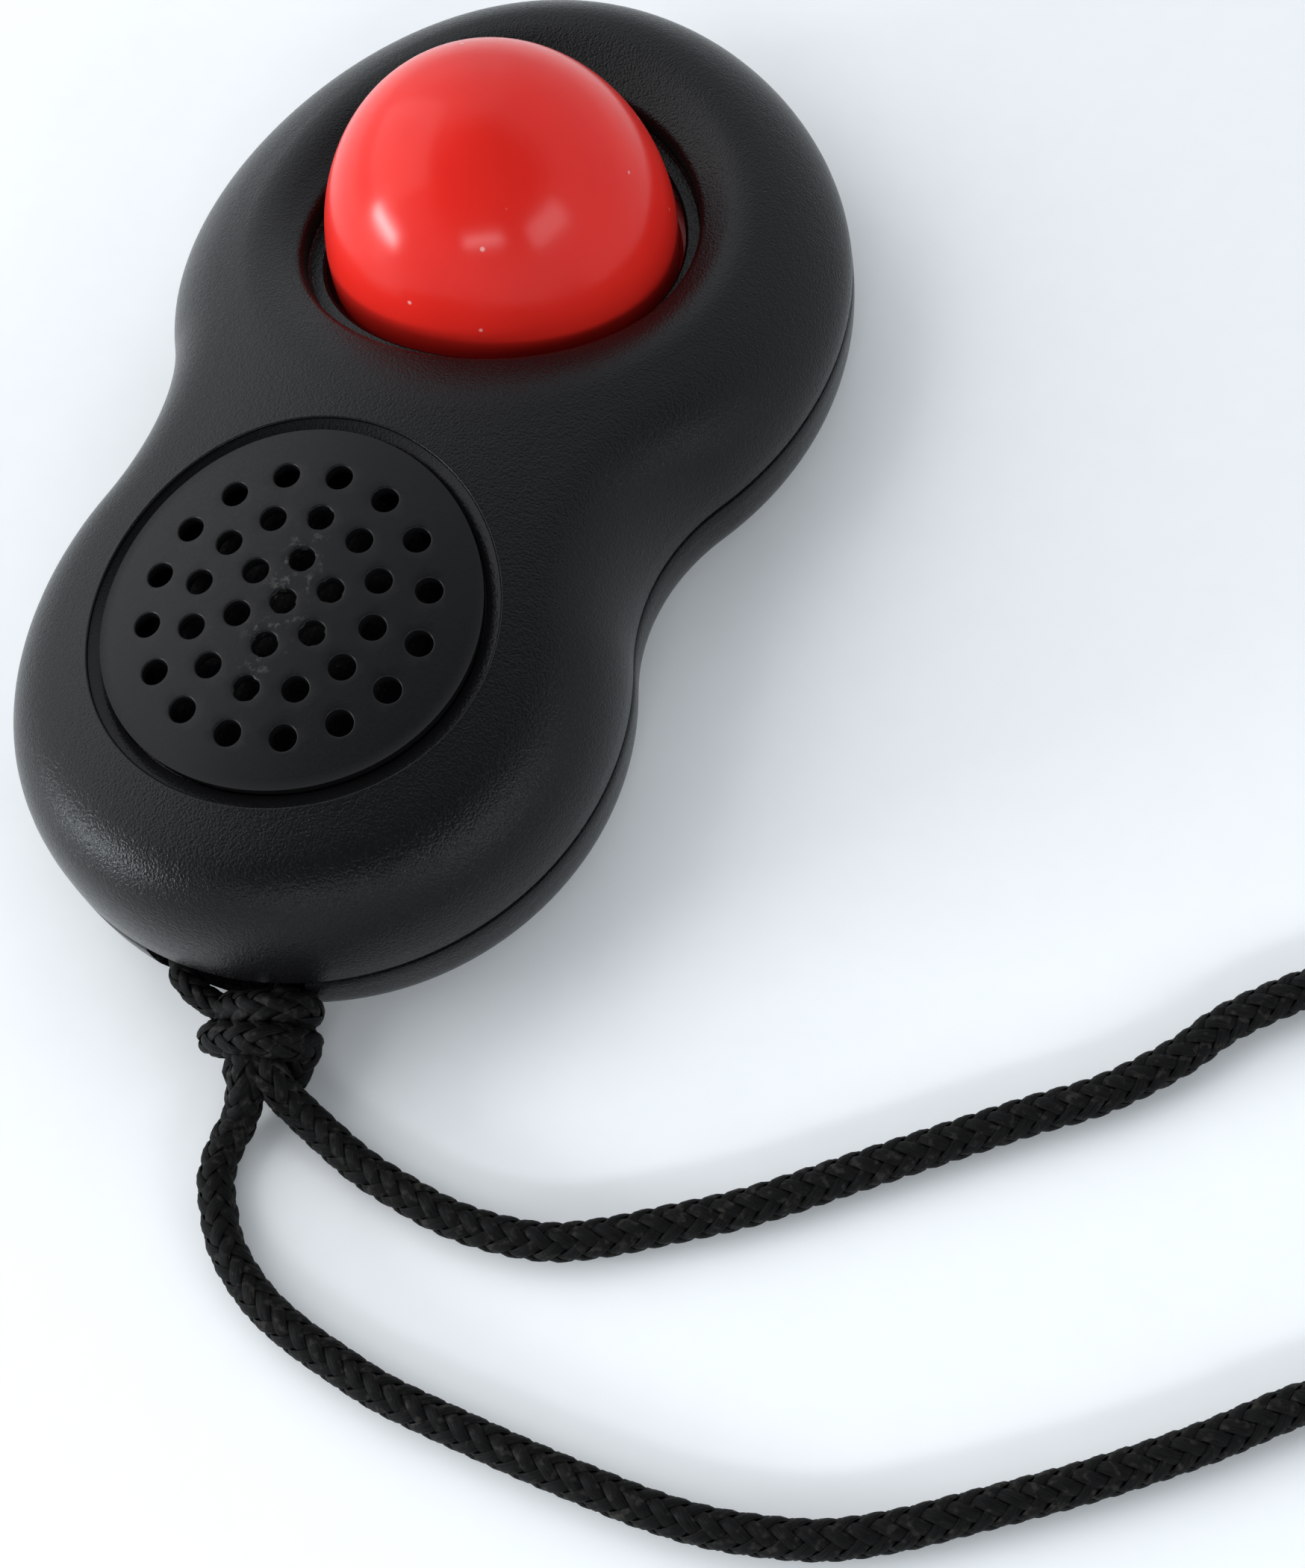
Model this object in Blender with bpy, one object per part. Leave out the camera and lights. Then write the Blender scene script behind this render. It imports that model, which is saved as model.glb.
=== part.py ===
"""A hand-held clicker trainer: a peanut-shaped two-part case with a domed push button, a perforated
grille disc, a snap plate that the button bends, and a braided wrist cord.

The object lies on its back: +Z up, +Y towards the button end, +X to the right seen from above.
The origin is the middle of the flat underside."""

import math

import bmesh
import bpy
from mathutils import Matrix, Vector

METRES = 0.001     # every size below is in millimetres, and finished pieces are scaled to metres
GAP = 0.3          # clearance between pieces that touch

# Case outline: two lobes joined by hollow waists
GRILLE_LOBE_Y = -21.35
GRILLE_LOBE_R = 23.6
BUTTON_LOBE_Y = 17.15
BUTTON_LOBE_R = 27.8
WAIST_R = 17.1
WALL = 1.8

# Case section: heights above the underside
PARTING_Z = 6.5
FLOOR_Z = 1.6
CROWN_Z = 20.3     # highest line of the top face
CROWN_Y = -6.0     # where that line peaks
CROWN_BOW_X = 0.0100    # fall across the width, per millimetre
CROWN_BOW_Y = 0.00248   # fall along the length, per millimetre
TOP_ROLL = 6.3     # width of the top shell's rounded edge
BASE_ROLL = 3.2    # width of the underside's rounded edge
SQUARENESS = 0.72       # 1 is an elliptical edge, less is squarer
LAP = 1.4          # height of the half-lap joint between the shells
TONGUE_INSET = 1.2 # outer face of the lower shell's tongue, from the case's side
REBATE_INSET = 0.9 # outer face of the upper shell's rebate, from the case's side

# Button well: a dished lip that follows the crowned face, and a collar that guides the button
WELL_Y = 18.3
WELL_R = 15.8
LIP_Z = 16.1
LIP_TILT = 0.19
LIP_BOW = 0.0095
DISH_SLOPE = 0.42
LEDGE_DROP = 2.0
COLLAR_BORE_R = 14.4
COLLAR_R = 17.4
COLLAR_BOTTOM_Z = 9.0

# Push button
BUTTON_R = 14.0
BUTTON_TOP_Z = 29.6
BUTTON_WIDEST_Z = 12.8
BUTTON_SKIRT_R = 13.7
BUTTON_FOOT_Z = 7.2
BUTTON_WALL = 1.5
FLANGE_R = 15.2
FLANGE_H = 1.4
PLUNGER_R = 2.5
PLUNGER_FOOT_Z = 9.5
TIP_R = 3.0
TRAVEL = 3.0       # full stroke of the button

# Return springs, one each side of the plunger
SPRING_X = 9.0
SPRING_R = 2.5
SPRING_WIRE_R = 0.32
SPRING_SEAT_Z = 2.6
SPRING_POST_Z = 10.2
SPRING_POST_TOP_Z = 22.2
SPRING_TURNS = 4

# Grille disc in its round recess
GRILLE_Y = -20.65
RECESS_R = 15.5
RECESS_DEPTH = 1.4
RECESS_FLOOR = 1.8
COVE_R = 14.6      # a hollow slope falls from the recess's edge to this radius
COVE_DEPTH = 0.6
GRILLE_R = 14.2
SPIGOT_R = 12.6
SPIGOT_WALL = 1.2
SPIGOT_DEPTH = 4.6 # from the disc's face to the spigot's foot
GAUZE_DEPTH = 2.4
GAUZE_T = 0.3
HOLE_R = 1.0
HOLE_PITCH = 3.5
HOLE_RINGS = ((0, 1, 0.0), (1, 6, 30.0), (2, 12, 0.0), (3, 16, 0.0))   # radius in pitches, count, first angle

# Snap plate, clamped at the grille end
PLATE_T = 0.5
PLATE_TOP_Z = 7.6
PLATE_HINGE_Y = -30.0
PLATE_BACK_Y = -33.0
PLATE_FRONT_Y = 21.5
PLATE_TAIL = 9.2   # half width at the clamp
PLATE_WIDE = 11.0  # half width under the grille
PLATE_NARROW = 5.0 # half width under the plunger
CLAMP_X = 7.0
CLAMP_T = 1.0
DIMPLE_Y = -14.0

# Posts and bosses inside the case
UPPER_BOSS_R = 2.6
LOWER_BOSS_R = 3.4
PLATE_POST_R = 2.5
PIN_BOSS_R = 3.2
PIN_BOSS_FOOT_Z = 8.5
PIN_RING_R = 2.6
RING_TOP_Z = 2.6
ROOT_Z = 1.0       # posts start this far up inside the floor, so that they join it
SPRING_SEAT_R = 3.4
SPRING_PEG_R = 1.6
SPRING_PEG_TOP_Z = 4.2
SPRING_POST_R = 1.9

# Case screws, each in a boss
SCREW_PLACES = {"near_left": (-12.8, -34.0), "near_right": (12.8, -34.0),
                "far_left": (-14.4, 34.3), "far_right": (14.4, 34.3)}
SCREW_HEAD_R = 2.3
SCREW_SHANK_R = 0.95
SCREW_SEAT_Z = 2.3
PILOT_TOP_Z = 13.2
COUNTERBORE_R = 2.7
COUNTERBORE_Z = 2.6

# Lanyard pin and cord
PIN = Vector((1.4, -37.6, 0.0))
PIN_R = 1.5
PIN_TOP_Z = 11.0
SLOT_LEFT = -4.8
SLOT_RIGHT = 7.9
SLOT_BACK_Y = -40.0
SLOT_SILL_Z = 1.5
CORD_R = 1.4
KNOT = Vector((5.6, -47.9, 3.6))
KNOT_RADII = Vector((4.9, 3.8, 3.5))
EYE_Z = 3.6
EYE_ROUTE = ((-0.5, -45.3), (-2.0, -44.5), (-3.2, -42.8), (-3.6, -40.4), (-3.2, -37.4), (-1.7, -34.8),
             (1.5, -33.6), (4.6, -34.8), (6.1, -37.5), (6.2, -40.4), (5.8, -43.4))
LOOP_Z = 1.45
LOOP_ROUTE = ((10.1, -51.5), (12.1, -52.3), (15.5, -53.6), (18.8, -54.4), (22.9, -55.1), (26.8, -55.1),
              (30.6, -54.5), (34.1, -53.0), (37.3, -51.2), (43.0, -47.8), (49.1, -43.3), (55.3, -38.7),
              (59.4, -35.7), (63.8, -32.6), (67.9, -28.5), (70.5, -25.0), (74.7, -21.2), (80.0, -17.6),
              (86.6, -14.8), (94.0, -13.6), (101.2, -14.8), (107.2, -18.6), (110.6, -24.2), (110.6, -30.4),
              (107.2, -35.6), (101.4, -39.2), (94.6, -42.2), (87.6, -45.4), (81.6, -49.0), (76.4, -53.4),
              (70.1, -58.1), (63.0, -62.8), (59.2, -65.2), (55.2, -67.2), (51.3, -68.3), (47.3, -69.0),
              (43.3, -69.2), (39.3, -69.1), (35.0, -68.9), (30.7, -68.6), (27.0, -68.3), (23.2, -67.9),
              (19.5, -67.1), (16.0, -66.2), (12.8, -65.0), (10.0, -63.3), (8.1, -61.6), (6.7, -59.6),
              (5.8, -58.1), (5.4, -56.7), (5.3, -55.1), (5.4, -53.6))

RING_SIDES = 40


# ---------------------------------------------------------------- scene and mesh helpers

def clear_scene():
    for obj in list(bpy.data.objects):
        bpy.data.objects.remove(obj, do_unlink=True)


def material(name, colour, roughness, metallic=0.0):
    found = bpy.data.materials.get(name)
    if found:
        return found
    made = bpy.data.materials.new(name)
    made.use_nodes = True
    shader = made.node_tree.nodes["Principled BSDF"]
    shader.inputs["Base Color"].default_value = (*colour, 1.0)
    shader.inputs["Roughness"].default_value = roughness
    shader.inputs["Metallic"].default_value = metallic
    return made


def black_plastic():
    return material("black_plastic", (0.018, 0.018, 0.019), 0.45)


def steel():
    return material("steel", (0.55, 0.55, 0.56), 0.32, 1.0)


def link(name, mesh, finish=None):
    obj = bpy.data.objects.new(name, mesh)
    bpy.context.scene.collection.objects.link(obj)
    if finish:
        mesh.materials.append(finish)
    return obj


def solid(name, points, faces, finish=None):
    """A closed mesh object from points; its faces are turned to point outwards."""
    mesh = bpy.data.meshes.new(name)
    mesh.from_pydata([tuple(p) for p in points], [], faces)
    work = bmesh.new()
    work.from_mesh(mesh)
    bmesh.ops.triangulate(work, faces=work.faces)
    bmesh.ops.recalc_face_normals(work, faces=work.faces)
    work.to_mesh(mesh)
    work.free()
    mesh.validate()
    return link(name, mesh, finish)


def combine(obj, tool, operation):
    """Joins, cuts or trims obj with tool, and removes the tool."""
    modifier = obj.modifiers.new(operation.lower(), "BOOLEAN")
    modifier.operation = operation
    modifier.object = tool
    modifier.solver = "EXACT"
    bpy.context.view_layer.update()
    graph = bpy.context.evaluated_depsgraph_get()
    result = bpy.data.meshes.new_from_object(obj.evaluated_get(graph))
    obj.modifiers.clear()
    obj.data = result
    bpy.data.objects.remove(tool, do_unlink=True)
    return obj


def cut(obj, *tools):
    for tool in tools:
        combine(obj, tool, "DIFFERENCE")
    return obj


def join(obj, *tools):
    for tool in tools:
        combine(obj, tool, "UNION")
    return obj


def smooth(obj, degrees=35.0):
    obj.data.shade_smooth()
    obj.data.set_sharp_from_angle(angle=math.radians(degrees))
    return obj


def on_axis(obj, origin):
    """Moves the object's origin to a point without moving its surface."""
    for vertex in obj.data.vertices:
        vertex.co -= origin
    obj.location = origin
    return obj


def to_metres():
    for obj in bpy.data.objects:
        if obj.type == "MESH":
            obj.data.transform(Matrix.Scale(METRES, 4))
            obj.location *= METRES


# ---------------------------------------------------------------- general shapes

def stacked(name, rings, finish=None):
    """A solid skinned over rings of equal point count, with its first and last ring closed by a fan."""
    points = [p for ring in rings for p in ring]
    sides = len(rings[0])
    faces = []
    for k in range(len(rings) - 1):
        for i in range(sides):
            j = (i + 1) % sides
            faces.append((k * sides + i, k * sides + j, (k + 1) * sides + j, (k + 1) * sides + i))
    for k in (0, len(rings) - 1):
        hub = sum((Vector(p) for p in rings[k]), Vector()) / sides
        points.append(hub)
        for i in range(sides):
            faces.append((k * sides + i, k * sides + (i + 1) % sides, len(points) - 1))
    return solid(name, points, faces, finish)


def circle(x, y, z, radius, sides=RING_SIDES, twist=0.0):
    """A ring of points; twist turns it by a share of one side."""
    angles = [2 * math.pi * (i + twist) / sides for i in range(sides)]
    return [(x + radius * math.cos(a), y + radius * math.sin(a), z) for a in angles]


def cylinder(name, x, y, low, high, radius, sides=24, finish=None, twist=0.0):
    return stacked(name, [circle(x, y, z, radius, sides, twist) for z in (low, high)], finish)


def turned(name, x, y, profile, sides=RING_SIDES, finish=None):
    """A solid of revolution about a vertical axis from an open (radius, height) profile."""
    return stacked(name, [circle(x, y, z, max(r, 0.01), sides) for r, z in profile], finish)


def box(name, low, high, finish=None):
    xs, ys, zs = zip(low, high)
    points = [(x, y, z) for x in xs for y in ys for z in zs]
    faces = ((0, 1, 3, 2), (4, 6, 7, 5), (0, 4, 5, 1), (2, 3, 7, 6), (0, 2, 6, 4), (1, 5, 7, 3))
    return solid(name, points, faces, finish)


def draped(name, y, profile, sides=RING_SIDES, finish=None, twist=0.0):
    """A round solid centred on x = 0 from (radius, height function) steps, inner bottom to inner top."""
    rings = []
    for radius, height in profile:
        rings.append([(px, py, height(px, py)) for px, py, _ in circle(0, y, 0, radius, sides, twist)])
    return stacked(name, rings, finish)


def bent_tube(name, points, radius, sides_resolution, finish):
    """A round tube along a list of points, as a curve with filled ends."""
    curve = bpy.data.curves.new(name, "CURVE")
    curve.dimensions = "3D"
    spline = curve.splines.new("POLY")
    spline.points.add(len(points) - 1)
    for item, place in zip(spline.points, points):
        item.co = (*(Vector(place) * METRES), 1.0)
    curve.bevel_depth = radius * METRES
    curve.bevel_resolution = sides_resolution
    curve.use_fill_caps = True
    return link(name, curve, finish)


def smooth_route(route, spacing):
    """Evenly spaced points on a smooth curve through the route's points."""
    ends = [2 * route[0] - route[1]] + list(route) + [2 * route[-1] - route[-2]]
    fine = []
    steps = 24
    for a, b, c, d in zip(ends, ends[1:], ends[2:], ends[3:]):
        for k in range(steps):
            t = k / steps
            fine.append(0.5 * (2 * b + (c - a) * t + (2 * a - 5 * b + 4 * c - d) * t * t
                               + (3 * b - a - 3 * c + d) * t ** 3))
    fine.append(route[-1])
    along = [0.0]
    for p, q in zip(fine, fine[1:]):
        along.append(along[-1] + (q - p).length)
    count = max(2, round(along[-1] / spacing))
    placed = []
    k = 0
    for i in range(count + 1):
        target = along[-1] * i / count
        while k < len(along) - 2 and along[k + 1] < target:
            k += 1
        share = (target - along[k]) / (along[k + 1] - along[k])
        placed.append(fine[k].lerp(fine[k + 1], min(1.0, share)))
    return placed


# ---------------------------------------------------------------- case surfaces

def outline(inset):
    """The case's plan outline, moved inwards by inset, anticlockwise from the near end."""
    span = BUTTON_LOBE_Y - GRILLE_LOBE_Y
    near = GRILLE_LOBE_R + WAIST_R
    far = BUTTON_LOBE_R + WAIST_R
    along = (near ** 2 - far ** 2 + span ** 2) / (2 * span)
    waist = Vector((math.sqrt(near ** 2 - along ** 2), GRILLE_LOBE_Y + along))
    near_end = math.atan2(along, waist.x)
    far_start = math.atan2(waist.y - BUTTON_LOBE_Y, waist.x)
    arcs = ((0.0, GRILLE_LOBE_Y, GRILLE_LOBE_R - inset, -math.pi / 2, near_end, 12),
            (waist.x, waist.y, WAIST_R + inset, math.pi + near_end, math.pi + far_start, 6),
            (0.0, BUTTON_LOBE_Y, BUTTON_LOBE_R - inset, far_start, math.pi / 2, 14))
    right = []
    for x, y, radius, first, last, steps in arcs:
        for i in range(steps):
            angle = first + (last - first) * i / steps
            right.append((x + radius * math.cos(angle), y + radius * math.sin(angle)))
    right.append((0.0, BUTTON_LOBE_Y + BUTTON_LOBE_R - inset))
    return right + [(-x, y) for x, y in reversed(right[1:-1])]


def crown(x, y):
    return CROWN_Z - CROWN_BOW_X * x * x - CROWN_BOW_Y * (y - CROWN_Y) ** 2


def below_crown(depth):
    return lambda x, y: crown(x, y) - depth


def level(z):
    return lambda x, y: z


def well_ledge(x, y):
    """The step inside the well that the button's flange stays under."""
    return lip(x, y) - LEDGE_DROP


def lip(x, y):
    """Height of the well's lip, read at the point of the lip circle nearest to (x, y)."""
    away = Vector((x, y - WELL_Y))
    if away.length > 0:
        away = away.normalized() * WELL_R
    return LIP_Z - LIP_TILT * away.y - LIP_BOW * away.x ** 2


def top_face(x, y):
    """The case's top face: the crown, dished towards the button well."""
    reach = math.hypot(x, y - WELL_Y) - WELL_R
    dish = lip(x, y) + DISH_SLOPE * max(reach, 0.0)
    return min(crown(x, y), dish)


def dish_rim(toward):
    """Where the dish meets the crown, on the line from the well's axis towards a point of the outline."""
    way = Vector((toward[0], toward[1] - WELL_Y))
    limit = way.length - 0.8
    way.normalize()
    radius = WELL_R
    for _ in range(6):
        x, y = way.x * radius, WELL_Y + way.y * radius
        radius = WELL_R + (crown(x, y) - lip(x, y)) / DISH_SLOPE
    return way * min(radius, limit)


def edge_share(step, steps):
    """(inward, upward) shares of the rounded edge at a step of it."""
    angle = math.pi / 2 * step / steps
    return 1 - math.cos(angle) ** SQUARENESS, math.sin(angle) ** SQUARENESS


def lid_solid(name, inset, drop, base_z):
    """The closed solid under the top face, its sides inset and its top lowered by drop."""
    rings = []
    steps = 5
    for step in range(steps + 1):
        inward, upward = edge_share(step, steps)
        plan = outline(inset + (TOP_ROLL - inset) * inward)
        rings.append([(x, y, base_z + (top_face(x, y) - drop - base_z) * upward) for x, y in plan])
    edge = [Vector(p) for p in outline(TOP_ROLL)]
    well = Vector((0, WELL_Y))
    rims = [well + dish_rim(p) for p in edge]
    lips = [well + (p - well).normalized() * WELL_R for p in edge]
    plans = [[p.lerp(rim, share) for p, rim in zip(edge, rims)] for share in (0.3, 0.65, 1.0)]
    plans += [[rim.lerp(p, share) for p, rim in zip(lips, rims)] for share in (0.5, 1.0)]
    plans.append([well + (p - well) * 0.5 for p in lips])
    rings += [[(x, y, top_face(x, y) - drop) for x, y in plan] for plan in plans]
    return stacked(name, rings)


def tray_solid(name, inset, floor_z, top_z):
    """The closed solid of the lower case, its sides inset, up to top_z."""
    rings = [[(x, y, top_z) for x, y in outline(inset)]]
    start = PARTING_Z - GAP / 2
    steps = 4
    for step in range(steps + 1):
        inward, downward = edge_share(step, steps)
        plan = outline(inset + (BASE_ROLL - min(inset, WALL) * 0.6) * inward)
        rings.append([(x, y, start - (start - floor_z) * downward) for x, y in plan])
    return stacked(name, rings if top_z > start + 1e-6 else rings[1:])


def prism(name, inset, low, high):
    return stacked(name, [[(x, y, z) for x, y in outline(inset)] for z in (low, high)])


def screw_places():
    return [(x, y) for x, y in SCREW_PLACES.values()]


# ---------------------------------------------------------------- case

def make_top_shell():
    base = PARTING_Z + GAP / 2
    outer = lid_solid("top_shell", 0.0, 0.0, base)
    shell = cut(outer, lid_solid("cavity", WALL, WALL, base - 1.0))
    for x, y in screw_places():
        join(shell, trimmed_to_lid(cylinder("boss", x, y, PARTING_Z + GAP, CROWN_Z, UPPER_BOSS_R, 16)))
    join(shell, trimmed_to_lid(cylinder("pin_boss", PIN.x, PIN.y, PIN_BOSS_FOOT_Z, CROWN_Z, PIN_BOSS_R, 16)))
    join(shell, trimmed_to_lid(cylinder("collar", 0, WELL_Y, COLLAR_BOTTOM_Z, CROWN_Z, COLLAR_R)))
    join(shell, recess_pad())
    sky = level(CROWN_Z + 1.0)
    inner = WELL_R / 2
    well = ((inner, well_ledge), (WELL_R, well_ledge), (WELL_R, sky), (inner, sky))
    cut(shell, draped("well", WELL_Y, well, twist=0.5))
    cut(shell, cylinder("collar_bore", 0, WELL_Y, COLLAR_BOTTOM_Z - 1.0, CROWN_Z, COLLAR_BORE_R, RING_SIDES))
    cut(shell, recess(sky))
    cut(shell, cylinder("sound_port", 0, GRILLE_Y, 12.0, CROWN_Z + 1.0, SPIGOT_R + GAP, RING_SIDES))
    for x, y in screw_places():
        cut(shell, cylinder("pilot", x, y, PARTING_Z - 1.0, PILOT_TOP_Z, SCREW_SHANK_R + GAP, 12))
    cut(shell, cylinder("pin_socket", PIN.x, PIN.y, PIN_BOSS_FOOT_Z - 0.5, PIN_TOP_Z + GAP, PIN_R + GAP, 12))
    rebate = cut(prism("rebate", REBATE_INSET, base - 1.0, base + LAP + GAP),
                 prism("rebate_core", WALL + 1.0, base - 2.0, base + LAP + 1.0))
    cut(shell, rebate)
    shell.data.materials.append(black_plastic())
    return smooth(shell)


def trimmed_to_lid(post):
    """The part of a post that lies inside the case's skin."""
    return combine(post, lid_solid("skin", 0.4, 0.6, 6.0), "INTERSECT")


def recess_pad():
    """The thick floor under the grille's recess, which follows the crown."""
    low = below_crown(RECESS_DEPTH + RECESS_FLOOR)
    high = below_crown(WALL / 2)
    outer = RECESS_R + WALL
    inner = RECESS_R / 2
    return draped("floor_pad", GRILLE_Y, ((inner, low), (outer, low), (outer, high), (inner, high)))


def recess(sky):
    """Cutter for the grille's recess: a flat floor, a short wall and a hollow slope up to the crown."""
    floor = below_crown(RECESS_DEPTH)
    inner = RECESS_R / 2
    profile = ((inner, floor), (COVE_R, floor), (COVE_R, below_crown(COVE_DEPTH)),
               ((COVE_R + RECESS_R) / 2, below_crown(COVE_DEPTH * 0.75)), (RECESS_R, below_crown(0.1)),
               (RECESS_R + 0.1, sky), (inner, sky))
    return draped("recess", GRILLE_Y, profile, twist=0.5)


def make_bottom_shell():
    top = PARTING_Z - GAP / 2
    shell = tray_solid("bottom_shell", 0.0, 0.0, top)
    cut(shell, tray_solid("hollow", WALL, FLOOR_Z, top + 3.0))
    tongue = cut(prism("tongue", TONGUE_INSET, top - 1.0, top + LAP),
                 prism("tongue_core", WALL + 0.2, top - 2.0, top + LAP + 1.0))
    join(shell, tongue)
    for x, y in screw_places():
        join(shell, cylinder("screw_boss", x, y, ROOT_Z, PARTING_Z, LOWER_BOSS_R, 16))
    post_top = PLATE_TOP_Z - PLATE_T - GAP
    for side in (-1, 1):
        x = side * SPRING_X
        join(shell, cylinder("plate_post", side * CLAMP_X, PLATE_HINGE_Y, ROOT_Z, post_top, PLATE_POST_R, 16))
        join(shell, cylinder("spring_seat", x, WELL_Y, ROOT_Z, SPRING_SEAT_Z, SPRING_SEAT_R, 16))
        join(shell, cylinder("spring_peg", x, WELL_Y, ROOT_Z + 1.0, SPRING_PEG_TOP_Z, SPRING_PEG_R, 12))
    join(shell, cylinder("pin_ring", PIN.x, PIN.y, ROOT_Z, RING_TOP_Z, PIN_RING_R, 16))
    cut(shell, cylinder("pin_socket", PIN.x, PIN.y, FLOOR_Z, RING_TOP_Z + 1.4, PIN_R + GAP, 12))
    for x, y in screw_places():
        cut(shell, cylinder("counterbore", x, y, -1.0, COUNTERBORE_Z, COUNTERBORE_R, 16))
        cut(shell, cylinder("clearance", x, y, 2.0, PARTING_Z + 1.5, SCREW_SHANK_R + GAP, 12))
    for side in (-1, 1):
        cut(shell, cylinder("plate_pilot", side * CLAMP_X, PLATE_HINGE_Y, 2.2, 9.0, 1.3, 12))
    cut(shell, box("lanyard_slot", (SLOT_LEFT, -60.0, SLOT_SILL_Z), (SLOT_RIGHT, SLOT_BACK_Y, 12.0)))
    shell.data.materials.append(black_plastic())
    return smooth(shell)


def make_grille():
    """The perforated disc: its face follows the crown, and a spigot drops through the port."""
    under = below_crown(RECESS_DEPTH - GAP)
    foot = below_crown(SPIGOT_DEPTH)
    face = below_crown(0.0)
    spigot_in = SPIGOT_R - SPIGOT_WALL
    profile = ((6, under), (spigot_in, under), (spigot_in, foot), (SPIGOT_R, foot), (SPIGOT_R, under),
               (GRILLE_R, under), (GRILLE_R, face), (9, face), (4.5, face))
    disc = draped("grille_disc", GRILLE_Y, profile)
    for ring, count, first in HOLE_RINGS:
        for i in range(count):
            angle = math.radians(first + 360.0 * i / count)
            x = ring * HOLE_PITCH * math.cos(angle)
            y = GRILLE_Y + ring * HOLE_PITCH * math.sin(angle)
            cut(disc, cylinder("hole", x, y, 12, 24, HOLE_R, 12, twist=0.4))
    disc.data.materials.append(black_plastic())
    return smooth(disc)


def make_gauze():
    """A thin dust cloth stretched across the inside of the spigot."""
    cloth = material("gauze", (0.03, 0.03, 0.03), 0.95)
    radius = SPIGOT_R - SPIGOT_WALL - GAP
    low = below_crown(GAUZE_DEPTH + GAUZE_T)
    high = below_crown(GAUZE_DEPTH)
    profile = ((radius / 2, low), (radius, low), (radius, high), (radius / 2, high))
    return smooth(draped("grille_gauze", GRILLE_Y, profile, 32, cloth))


# ---------------------------------------------------------------- button and springs

def dome_profile(inset):
    """(radius, height) points of the dome from its rim up to its crown, set in by inset."""
    radius = BUTTON_R - inset
    height = BUTTON_TOP_Z - BUTTON_WIDEST_Z - inset
    points = []
    steps = 12
    for k in range(steps + 1):
        angle = math.pi / 2 * k / steps
        points.append((radius * math.cos(angle), BUTTON_WIDEST_Z + height * math.sin(angle)))
    return points


def make_button():
    flange_top = BUTTON_FOOT_Z + FLANGE_H
    outside = [(FLANGE_R, BUTTON_FOOT_Z), (FLANGE_R, flange_top), (BUTTON_SKIRT_R, flange_top)]
    button = turned("push_button", 0, WELL_Y, outside + dome_profile(0.0), 48)
    inside = [(BUTTON_SKIRT_R - BUTTON_WALL, BUTTON_FOOT_Z - 1.0)] + dome_profile(BUTTON_WALL)
    cut(button, turned("hollow", 0, WELL_Y, inside, 32))
    join(button, cylinder("plunger", 0, WELL_Y, PLUNGER_FOOT_Z, BUTTON_TOP_Z - 0.8, PLUNGER_R, 16))
    for side in (-1, 1):
        join(button, cylinder("spring_post", side * SPRING_X, WELL_Y, SPRING_POST_Z, SPRING_POST_TOP_Z,
                              SPRING_POST_R, 12))
    cut(button, box("plate_notch", (-PLATE_NARROW - 1, 0, BUTTON_FOOT_Z - 1),
                    (PLATE_NARROW + 1, WELL_Y - 8, BUTTON_FOOT_Z + TRAVEL + 1.2)))
    button.data.materials.append(material("red_plastic", (0.72, 0.025, 0.012), 0.18))
    return smooth(on_axis(button, Vector((0, WELL_Y, BUTTON_FOOT_Z))))


def make_tip():
    """The soft pad under the plunger that meets the snap plate."""
    rubber = material("rubber", (0.05, 0.05, 0.05), 0.8)
    tip = cylinder("plunger_tip", 0, WELL_Y, PLATE_TOP_Z + GAP, PLUNGER_FOOT_Z - GAP, TIP_R, 20, rubber)
    return smooth(on_axis(tip, Vector((0, WELL_Y, BUTTON_FOOT_Z))))


def make_spring(name, x):
    low = SPRING_SEAT_Z + GAP + SPRING_WIRE_R
    high = SPRING_POST_Z - GAP - SPRING_WIRE_R
    steps = SPRING_TURNS * 14
    points = []
    for i in range(steps + 1):
        angle = 2 * math.pi * SPRING_TURNS * i / steps
        points.append((x + SPRING_R * math.cos(angle), WELL_Y + SPRING_R * math.sin(angle),
                       low + (high - low) * i / steps))
    return bent_tube(name, points, SPRING_WIRE_R, 1, steel())


# ---------------------------------------------------------------- snap plate

def make_plate():
    """A spring-steel tongue, wide and dimpled under the grille, narrow under the plunger."""
    low = PLATE_TOP_Z - PLATE_T
    corner = 1.5
    right = ((PLATE_TAIL, PLATE_BACK_Y), (PLATE_TAIL, -29.0), (PLATE_WIDE, -27.0), (PLATE_WIDE, -9.0),
             (PLATE_NARROW, 4.0), (PLATE_NARROW, PLATE_FRONT_Y - corner),
             (PLATE_NARROW - corner, PLATE_FRONT_Y))
    plan = list(right) + [(-x, y) for x, y in reversed(right)]
    plate = stacked("click_plate", [[(x, y, z) for x, y in plan] for z in (low, PLATE_TOP_Z)])
    bulge = [(4.0, low), (3.2, PLATE_TOP_Z + 0.35), (1.0, PLATE_TOP_Z + 0.6)]
    dimple = turned("dimple", 0, DIMPLE_Y, bulge, 20)
    join(plate, dimple)
    for side in (-1, 1):
        cut(plate, cylinder("screw_hole", side * CLAMP_X, PLATE_HINGE_Y, low - 1.0, PLATE_TOP_Z + 1.0, 1.4, 12))
    plate.data.materials.append(steel())
    return smooth(on_axis(plate, Vector((0, PLATE_HINGE_Y, low + PLATE_T / 2))))


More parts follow.
